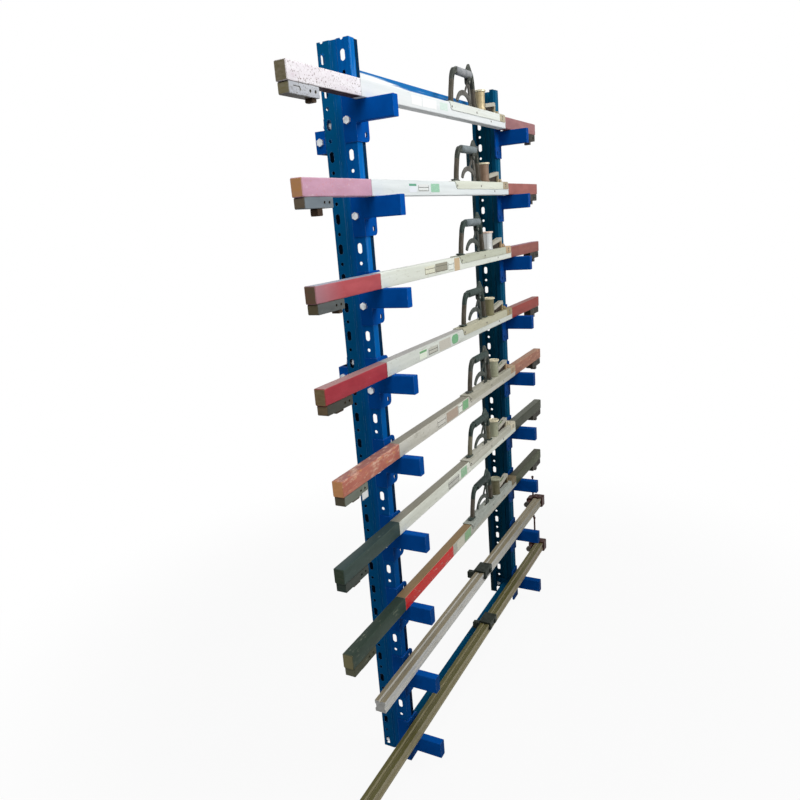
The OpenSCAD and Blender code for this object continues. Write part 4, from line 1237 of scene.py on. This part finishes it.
    def blocks(self) -> None:
        """The two painted end blocks, knocked about at their edges."""
        steps, inset = 24, self.block_chamfer
        for name, start, span, finish in (("near_block", 0.0, self.near_block, self.look.near),
                                          ("far_block", self.tube_end, self.far_block, self.look.far)):
            inner = [start + span * k / steps for k in range(1, steps)]
            places = [start + inset, *inner, inner[-1] + span / steps - inset]
            full = [self.ring(x, 0.0) for x in places]
            rings = [self.ring(start, inset), *full, self.ring(start + span, inset)]
            form = self.form(name).skin(rings).wobble(self.dent, self.dent_size)
            replaced = (f"{self.key}_end_blocks",) if name == "near_block" else ()
            form.place(finish, self.key, self.look.block_slot, *replaced)

    def foot(self, name: str, start: float, opening: Form | None, holes: Pair) -> Form:
        """One foot, with two holes across it at half its height.

        Args:
            name: The piece's name.
            start: Its place along the gauge.
            opening: What else is cut out of it.
            holes: The holes' places along the gauge.

        Returns:
            The foot, before its finish.
        """
        half = self.bar_w / 2 - 1
        form = self.form(name)
        form.slab(rounded((start, -self.foot_h), (start + self.foot_l, -0.1), 3), -half, 2 * half, bevel=0.8)
        if opening:
            form.cut(opening)
        bore = [(-half - 1, self.foot_hole_r), (half + 1, self.foot_hole_r)]
        for x in holes:
            form.cut(self.form("hole").lathe(bore, (x, 0, -self.foot_h / 2), Y, 20))
        return form

    def feet(self) -> None:
        """The near foot with its long pocket and stop, and the far foot with the sliding stop's window."""
        pocket = None
        if self.look.pocket:
            pocket = self.form("pocket").slab(rounded((16, -18), (44, -7), 5.4, 5), -self.bar_w / 2, 3)
        near = self.foot("near_foot", self.foot_in, pocket, (78, 97))
        near.place(self.look.foot, self.key, self.look.block_slot)
        low = -self.foot_h - self.look.stop_h
        near_x, far_x = self.look.stop_x
        peg = self.form("near_stop")
        peg.slab(rounded((near_x, low), (far_x, -self.foot_h + 0.2), 2.6), -10, 20, bevel=1.0)
        peg.place(STOP_IRON, self.key, self.look.block_slot)
        if self.look.tag:
            self.tag()
        x = self.length - self.slide_back
        travel = (self.pivot_z - self.tread_z) * math.radians(self.trigger_turn)
        window = self.form("window").brick((x - 10 - travel, -7, -self.foot_h - 1), (x + 10, 7, 1))
        start = self.length - self.foot_l - self.foot_in
        far = self.foot("far_foot", start, window, (self.length - 14, self.length - 34))
        far.place(FAR_FOOT, self.key, self.look.block_slot)

    def tag(self) -> None:
        """A bare stock tag that hangs from the near foot's front."""
        y = -self.bar_w / 2 + 1
        plate = self.form("stock_tag").slab([(80, -38), (108, -38), (108, -20), (80, -20)], y - 0.8, 0.6)
        plate.place(Sticker("stock tag", "#d9dcda", "#b9bdb6"), self.key, self.look.block_slot)

    def handle(self) -> None:
        """The cast bow with its posts, its feet, the fin and the trigger's cheeks."""
        top, t, z = self.saddle_top, 6.2, self.grip_z
        rows = [(829, top + 2, 7, t), (833, top + 30, 6.4, t), (840, z - 40, 6.4, t), (846, z - 20, 7, t),
                (856, z - 6, 8, t), (872, z, 8.6, t + 1), (930, z + 1, 8, t), (980, z - 1, 8.6, t + 1),
                (996, z - 8, 8.6, t), (1003, z - 28, 7, t), (1007, z - 60, 6.4, t), (1014, top + 2, 7, t)]
        quarter = [(1, 0.72), (0.86, 0.98), (0.62, 1), (0.5, 0.62)]
        half = quarter + [(-u, v) for u, v in reversed(quarter)]
        section = half + [(u, -v) for u, v in reversed(half)]
        fine = smoothed(rows, 5)
        posts = self.form("handle_posts").sweep(fine[:13], section).sweep(fine[-9:], section)
        posts.place(self.look.post, self.key, "handle_casting")
        form = self.form("handle").sweep(fine[12:-8], section)
        s = self.saddle_x
        crest = [(s + 172, z), (s + 177, z + 14), (s + 185, z + 24), (s + 192, z + 30.6), (s + 199, z + 31.5),
                 (s + 206, z + 26), (s + 216, z + 14), (s + 227, z + 5), (s + 231, z - 8)]
        form.slab([*smoothed(crest, 3), (s + 224, z - 20), (s + 200, z - 8)], -2.9, 5.8, bevel=0.9)
        px, pz = self.pivot_x, self.pivot_z
        cheek = [(px - 8, pz), (px + 8, pz), (px + 14, z - 4), (px - 9, z - 4)]
        for side in (-1, 1):
            near, far = side * 3.3, side * 7.4
            form.lathe([(near, 8), (far - side * 0.8, 8), (far, 7.2)], (px, 0, pz), Y, 24)
            form.slab(cheek, min(near, far), 4.1, bevel=0.6)
        shoe = [(802, top + 5), (814, top + 1), (818, top), (841, top), (841, top + 4), (820, top + 5),
                (812, top + 7)]
        form.slab(shoe, -8, 16, bevel=0.8)
        form.slab(rounded((1003, top), (1025, top + 4), 1.2, 2), -8, 16, bevel=0.6)
        form.place(self.look.handle, self.key, "handle_casting", f"{self.key}_handle")
        pin = self.form("trigger_pin")
        pin.lathe([(-8.0, 2.2), (-7.4, 3.0), (7.4, 3.0), (8.0, 2.2)], (px, 0, pz), Y, 20)
        for x in (825, 1019):
            pin.lathe([(top + 3.8, 3.4), (top + 5.4, 3.4), (top + 6.2, 2.6)], (x, 0, 0), Z, 6)
        pin.place(BOLT_SCREW, self.key, "zinc_plate")

    def grip(self) -> None:
        """The moulded sleeve of the grip, ribbed on its underside for the fingers."""
        start, stop = self.grip_x
        steps, sides, lip = 90, 28, 3
        rings = []
        for k in range(steps + 1):
            x = start + (stop - start) * k / steps
            end = min(x - start, stop - x)
            shrink = math.sqrt(max(0.0, 1 - ((lip - end) / lip) ** 2)) if end < lip else 1.0
            wave = self.rib * math.cos((x - start) * 2 * math.pi / self.rib_pitch)
            ring = []
            for a in turns(sides):
                r = (self.grip_r + wave * max(0.0, -math.sin(a))) * max(shrink, 0.55)
                ring.append(Vector((x, r * 0.94 * math.cos(a), self.grip_z + 0.4 + r * math.sin(a))))
            rings.append(ring)
        self.form("grip").skin(rings).place(self.look.grip, self.key, "handle_casting")

    def trigger(self) -> None:
        """The squeeze trigger: eye, leg, finger hook and brace, all with rounded edges."""
        px, pz, top = self.pivot_x, self.pivot_z, self.saddle_top
        section = [(1, 0.55), (0.8, 1), (-0.8, 1), (-1, 0.55), (-1, -0.55), (-0.8, -1), (0.8, -1), (1, -0.55)]
        leg = [(px + 1, pz - 2, 4.6, 3), (px + 7, pz - 20, 5, 3), (px + 11, pz - 44, 6, 3),
               (px + 10, top + 14, 6, 3), (px + 6, self.bar_h, 5, 3), (px + 5, self.tread_z, 5, 3)]
        arch_x, arch_z = 928.0, top + 2
        hook = []
        for degrees in range(0, 166, 11):
            along, up = math.cos(math.radians(degrees)), math.sin(math.radians(degrees))
            half = 6.0 + 1.6 * up - 1.4 * max(0.0, (degrees - 120) / 45)
            hook.append((arch_x + 52 * along, arch_z + 38 * up, half, 3))
        brace = [(px - 3, pz - 3, 2.2, 2.4), (arch_x + 10, arch_z + 37, 2.8, 2.8)]
        form = self.form("trigger").sweep(smoothed(leg, 4), section)
        form.sweep(hook, section).sweep(brace, section)
        form.lathe([(-3, 7.2), (-2.4, 7.9), (2.4, 7.9), (3, 7.2)], (px, 0, pz), Y, 24)
        form.place(self.look.trigger, f"{self.key}_trigger", "handle_casting", f"{self.key}_trigger")

    def drum(self) -> None:
        """The turned adjusting drum: base ring, waisted body with two scribed lines, and rolled flange."""
        base = self.saddle_top + 0.3
        top = base + self.drum_h
        foot = [(0, 17.6), (0.8, 18.4), (4.2, 18.4), (5, 17.0), (9, 16.7), (22, 16.5), (22.5, 16.1),
                (23.1, 16.1), (23.6, 16.5)]
        neck = [(20, 16.6), (19.5, 16.2), (18.9, 16.2), (18.4, 16.6), (9, 16.9), (6, 17.0)]
        roll = [(6, 17.0), (5.6, 19.6), (4.6, 20.4), (1.4, 20.4), (0.4, 19.6), (0, 18.4), (0.2, 16.0),
                (1.6, 15.0), (1.8, 4.2), (0.9, 3.8), (0.7, 2.0)]
        body = [(base + up, r) for up, r in foot] + [(top - down, r) for down, r in neck]
        form = self.form("drum").lathe(body, (self.drum_x, 0, 0), Z, 40)
        shaft = [(self.bar_h - 8, 6), (self.bar_h - 3, 6), (self.bar_h - 2.8, 4), (base + 0.5, 4)]
        form.lathe(shaft, (self.drum_x, 0, 0), Z, 24)
        form.place(self.look.drum, f"{self.key}_drum", "drum_brass", f"{self.key}_drum")
        rim = [(top - down, r) for down, r in roll]
        flange = self.form("drum_flange").lathe(rim, (self.drum_x, 0, 0), Z, 48)
        flange.place(self.look.flange, f"{self.key}_drum", "drum_brass")

    def level(self) -> None:
        """The slanted level housing on its post, with the glass tube let into its top."""
        top = self.saddle_top + 0.1
        x0, x1, x2 = self.drum_x + 30, self.drum_x + 112, self.drum_x + 123
        z0, z1, z2 = self.saddle_top + 12, self.saddle_top + 23.5, self.saddle_top + 36
        body = [(x0, z0), (x1, z1), (x2 - 0.6, z1 - 0.6), (x2, z1), (x2, z2 - 4)]
        body += arc((x2 - 4, z2 - 4), 4, 0, 90, 4)[1:] + [(x1 - 3, z2), (x0 + 2, z0 + 12.3), (x0, z0 + 11)]
        form = self.form("level_housing").slab(body, -7.5, 15, bevel=0.9)
        form.cut(self.form("window").brick((x0 + 22, -3.0, z0 + 9.5), (x0 + 62, 3.0, z2 + 5)))
        self.on_bar(form, self.look.level)
        post = self.form("level_post").brick((x1 + 0.2, -7.3, top), (x2, 7.3, z1 + 0.5), bevel=0.7)
        self.on_bar(post, self.look.tan)
        web = [(x0 + 20, z0 + 4), (x0 + 14, top + 4), (x0 + 20, top), (x1 + 0.1, top), (x1 + 0.1, z1 + 0.6)]
        self.form("level_tongue").slab(web, -1.5, 3.0, bevel=0.4).place(TONGUE, self.key, self.look.bar_slot)
        tilt = math.atan2(z1 - z0, x1 - x0)
        ahead = Vector((math.cos(tilt), 0, math.sin(tilt)))
        up = Vector((-math.sin(tilt), 0, math.cos(tilt)))
        rings = []
        for t, r in ((-1, 2.6), (0, 4.1), (51, 4.1), (52, 2.6)):
            middle = Vector((x0 + 12, 0, z0 + 8)) + ahead * t
            rings.append([middle + Vector((0, r * math.cos(a), 0)) + up * (r * math.sin(a))
                          for a in turns(20)])
        vial = self.form("level_vial").skin(rings)
        vial.place(VialGlass("vial glass", "#bfe0a0", "#a9d089"), self.key, self.look.bar_slot)


@dataclass(frozen=True)
class ClampLook:
    """The colours of one bar clamp."""

    rail: BarPaint
    slot: str


JAW = Casting("jaw casting", "#2f352e", "#20251f", "#5d6359", 0.35, 0.5, 0.2)
RED_IRON = Casting("oiled red iron", "#4a2f29", "#33201c", "#7a5a50", 0.4, 0.45, 0.3)
CLAMP_LOOKS = (
    ClampLook(BarPaint("pale rail paint", "#c5c5c2", "#b2b2ac", "#7c7868", "#d0d0c4", 0.5, top="#8a8069",
                       far="#8b877a", far_shade_from=(0.0, 520.0)), "rail_1_paint"),
    ClampLook(BarPaint("khaki rail paint", "#8f8769", "#7f785b", "#6e674e", "#cfc4b4", 0.5, top="#58542d",
                       far="#857a67", far_shade_from=(0.0, 520.0)), "rail_2_paint"),
)


@dataclass
class Clamp:
    """One bar clamp, in millimetres from its rail's far end, its front face and the arm's top."""

    frame: dict[str, Any]
    number: int
    look: ClampLook
    rail_w: float = 32.0
    rail_h: float = 34.0
    screw_y: float = 52.0
    screw_z: float = 17.0
    screw_r: float = 6.0
    out: float = 14.0
    head_l: float = 38.0

    def __post_init__(self) -> None:
        """Finds the clamp's place from its rail."""
        self.key = f"clamp_{self.number}"
        low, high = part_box(f"{self.key}_rail")
        self.home = Matrix.Translation((high.x, low.y, low.z))

    def form(self, name: str) -> Form:
        """Starts a piece of this clamp."""
        return Form(f"{self.key}_{name}", self.home)

    def local(self, node: str) -> tuple[Vector, Vector]:
        """A node's corners in the clamp's own millimetres."""
        low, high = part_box(node)
        origin = self.home.translation
        return (low - origin) * PER_M, (high - origin) * PER_M

    def build(self) -> None:
        """Makes every piece of the clamp."""
        dress_node(self.frame, f"{self.key}_rail", self.look.rail)
        dress_node(self.frame, f"{self.key}_pad", OILED)
        self.head()
        self.jaw()
        self.screw()

    def head(self) -> None:
        """The fixed casting round the rail's end, with the screw's boss."""
        wall, back = 6.0, self.screw_y + 15
        side, top = self.rail_w + wall, self.rail_h + wall
        form = self.form("head")
        outline = [(-wall, -wall), (side, -wall), (side + 4, -2), (back - 6, -2), (back, 4),
                   (back, self.rail_h - 9), (back - 6, self.rail_h - 3), (side + 4, self.rail_h - 3),
                   (side, top), (-wall, top)]
        form.run(outline, -self.head_l, self.head_l, bevel=1.6)
        form.cut(self.form("mouth").brick((-self.head_l - 1, 0, 0), (1, self.rail_w, self.rail_h)))
        bore = [(-self.head_l - 1, self.screw_r + 0.3), (1, self.screw_r + 0.3)]
        form.cut(self.form("bore").lathe(bore, (0, self.screw_y, self.screw_z), X, 24))
        rivet = [(top - 0.5, 4.6), (top + 2.2, 4.2), (top + 3, 2.6)]
        form.lathe(rivet, (-self.head_l / 2, self.rail_w / 2, 0), Z, 20)
        form.place(RED_IRON, self.key, "oiled_iron", f"{self.key}_head")

    def jaw(self) -> None:
        """The sliding jaw: a ribbed saddle over the rail with a pressing lug behind."""
        low, high = self.local(f"{self.key}_jaw")
        x0, x1 = low.x, high.x
        gap, wall, foot = 0.3, 7.0, 11.0
        inner, roof = self.rail_w + gap, self.rail_h + gap
        outer, top = inner + wall, roof + wall
        form = self.form("jaw")
        shell = [(-gap - wall, foot), (-gap, foot), (-gap, roof), (inner, roof), (inner, foot), (outer, foot),
                 (outer, top - 2), (outer - 2, top), (2 - gap - wall, top), (-gap - wall, top - 2)]
        form.run(shell, x0, x1 - x0, bevel=0.8)
        pocket = rounded((x0 + 15, foot - 4), (x1 - 15, top - 8), 6, 4)
        form.cut(self.form("pocket").slab(pocket, -gap - wall - 1, 5))
        lug = [(x0, 4), (x0 + 20, 4), (x0 + 20, self.rail_h - 4), (x0, self.rail_h - 4)]
        form.slab(lug, inner + 1, self.screw_y + 12 - inner, bevel=2.0)
        form.place(JAW, f"{self.key}_jaw", "jaw_iron", f"{self.key}_jaw")

    def screw(self) -> None:
        """The threaded screw, its collar and the ball-ended tommy bar."""
        low, high = self.local(f"{self.key}_screw")
        pitch, depth, sides = 3.0, 0.9, 24
        start, stop = self.local(f"{self.key}_pad")[1].x + 0.3, 6.0
        steps = int((stop - start) / pitch * 4)
        rings = []
        for k in range(steps + 1):
            x = start + (stop - start) * k / steps
            fade = min(1.0, (x - start) / 4, (stop - x) / 4 + 0.01)
            ring = []
            for s, a in enumerate(turns(sides)):
                phase = (x / pitch - s / sides) % 1.0
                r = self.screw_r - depth * fade * abs(2 * phase - 1)
                ring.append(Vector((x, self.screw_y + r * math.cos(a), self.screw_z + r * math.sin(a))))
            rings.append(ring)
        form = self.form("screw").skin(rings)
        axis = (0, self.screw_y, self.screw_z)
        form.lathe([(start - 7, 3.4), (start + 0.5, 4.0)], axis, X, 20)
        form.lathe([(5.8, 5.8), (6, 9), (7, 10), (20.4, 10), (21.4, 9), (22, 6)], axis, X, 28)
        ball, middle = 6.0, (self.out, self.screw_y, 0)
        form.lathe([(low.z + ball, 3.9), (high.z - ball, 3.9)], middle, Z, 20)
        for z in (low.z + ball, high.z - ball):
            angles = [math.radians(a) for a in range(-84, 85, 14)]
            form.lathe([(z + ball * math.sin(a), ball * math.cos(a)) for a in angles], middle, Z, 20)
        form.place(RED_IRON, f"{self.key}_screw", "oiled_iron", f"{self.key}_screw")


@dataclass
class Stage:
    """The pale floor, the soft lights and the camera at the photo's angle."""

    eye: Triple = (-2.0984, -1.0212, 0.0940)
    right: Triple = (0.46396, -0.88254, -0.07663)
    down: Triple = (-0.25709, -0.05137, -0.96502)
    focal: float = 684.6
    picture: float = 800.0
    sensor: float = 36.0
    floor_drop: float = 0.004
    floor_half: float = 40.0
    floor_shade: float = 0.93
    shadow_reach: Pair = (1.7, 2.6)
    sky: float = 0.2

    def build(self) -> None:
        """Makes the floor, the lamps, the world and the camera."""
        self.camera()
        self.floor()
        self.world()
        self.lamp("key", (0.1, -2.8, 1.5), (-0.1, -0.1, -0.1), 2.0, 82)
        self.lamp("fill", (-2.4, -0.7, 1.9), (-0.3, -0.1, -0.1), 1.6, 36)
        self.lamp("back", (1.2, 2.6, 2.4), (0.0, 0.0, -0.2), 2.4, 24)

    def camera(self) -> None:
        """The photo's camera, from its fitted place, axes and focal length in pixels."""
        data = bpy.data.cameras.new("camera")
        data.sensor_width = self.sensor
        data.lens = self.focal / self.picture * self.sensor
        camera = bpy.data.objects.new("camera", data)
        bpy.context.scene.collection.objects.link(camera)
        side, up = Vector(self.right).normalized(), -Vector(self.down).normalized()
        back = side.cross(up)
        camera.matrix_world = Matrix.Translation(self.eye) @ Matrix((side, up, back)).transposed().to_4x4()
        bpy.context.scene.camera = camera

    def floor(self) -> None:
        """A wide pale floor just under the part, which stays white to the camera but keeps the shadow."""
        z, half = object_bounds()[0][2] - self.floor_drop, self.floor_half
        shape = bpy.data.meshes.new("floor")
        shape.from_pydata([(-half, -half, z), (half, -half, z), (half, half, z), (-half, half, z)], [],
                          [(0, 1, 2, 3)])
        floor = bpy.data.objects.new("floor", shape)
        bpy.context.scene.collection.objects.link(floor)
        material = bpy.data.materials.new("pale floor")
        material.use_nodes = True
        tree = material.node_tree
        shader = tree.nodes["Principled BSDF"]
        shader.inputs["Base Color"].default_value = (0.5, 0.5, 0.5, 1)
        shader.inputs["Roughness"].default_value = 0.9
        seen = self.seen(tree)
        glow = add(tree, "ShaderNodeEmission", {"Color": (1, 1, 1, 1), "Strength": 1.0}, {})
        place = add(tree, "ShaderNodeTexCoord", {}, {})
        reach = add(tree, "ShaderNodeVectorMath", {}, {0: place.outputs["Object"]}, operation="LENGTH")
        near, far = self.shadow_reach
        values = {"From Min": near, "From Max": far, "To Min": self.floor_shade, "To Max": 1.0}
        wide = add(tree, "ShaderNodeMapRange", values, {"Value": reach.outputs["Value"]},
                   interpolation_type="SMOOTHSTEP")
        share = add(tree, "ShaderNodeMath", {}, {0: seen, 1: wide.outputs["Result"]}, operation="MULTIPLY")
        links = {0: share.outputs[0], 1: shader.outputs[0], 2: glow.outputs[0]}
        both = add(tree, "ShaderNodeMixShader", {}, links)
        tree.links.new(both.outputs[0], tree.nodes["Material Output"].inputs["Surface"])
        shape.materials.append(material)
        floor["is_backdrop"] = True

    def seen(self, tree: bpy.types.NodeTree) -> Any:
        """One for the camera's, glossy and transmitted rays, which meet the white background."""
        path = add(tree, "ShaderNodeLightPath", {}, {})
        bright = {0: path.outputs["Is Camera Ray"], 1: path.outputs["Is Glossy Ray"]}
        either = add(tree, "ShaderNodeMath", {}, bright, operation="MAXIMUM")
        links = {0: either.outputs[0], 1: path.outputs["Is Transmission Ray"]}
        return add(tree, "ShaderNodeMath", {}, links, operation="MAXIMUM").outputs[0]

    def world(self) -> None:
        """An even grey sky for light, white to the camera and in reflections."""
        world = bpy.data.worlds.new("studio")
        world.use_nodes = True
        tree = world.node_tree
        ground = tree.nodes["Background"]
        ground.inputs["Strength"].default_value = self.sky
        white = add(tree, "ShaderNodeBackground", {"Color": (1, 1, 1, 1), "Strength": 1.0}, {})
        ground.inputs["Color"].default_value = (1, 1, 1, 1)
        links = {0: self.seen(tree), 1: ground.outputs[0], 2: white.outputs[0]}
        both = add(tree, "ShaderNodeMixShader", {}, links)
        tree.links.new(both.outputs[0], tree.nodes["World Output"].inputs["Surface"])
        bpy.context.scene.world = world

    def lamp(self, name: str, place: Triple, aim: Triple, size: float, watts: float) -> None:
        """A square soft lamp.

        Args:
            name: The lamp's name.
            place: Where it hangs, in metres.
            aim: The point that it faces.
            size: Its side, in metres.
            watts: Its power.
        """
        data = bpy.data.lights.new(name, "AREA")
        data.size = size
        data.energy = watts
        lamp = bpy.data.objects.new(name, data)
        bpy.context.scene.collection.objects.link(lamp)
        lamp.location = place
        lamp.rotation_euler = (Vector(aim) - Vector(place)).to_track_quat("-Z", "Y").to_euler()


def main() -> None:
    """Loads the frame, builds the stage, the rack and the stored tools."""
    logging.basicConfig(level=logging.INFO, format="%(name)s: %(message)s")
    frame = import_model()
    bpy.context.scene.view_settings.view_transform = "Standard"
    Stage().build()
    Rack(frame).build()
    for number, look in enumerate(LOOKS, start=1):
        Gauge(frame, number, look).build()
    for number, look in enumerate(CLAMP_LOOKS, start=1):
        Clamp(frame, number, look).build()


if __name__ == "__main__":
    main()
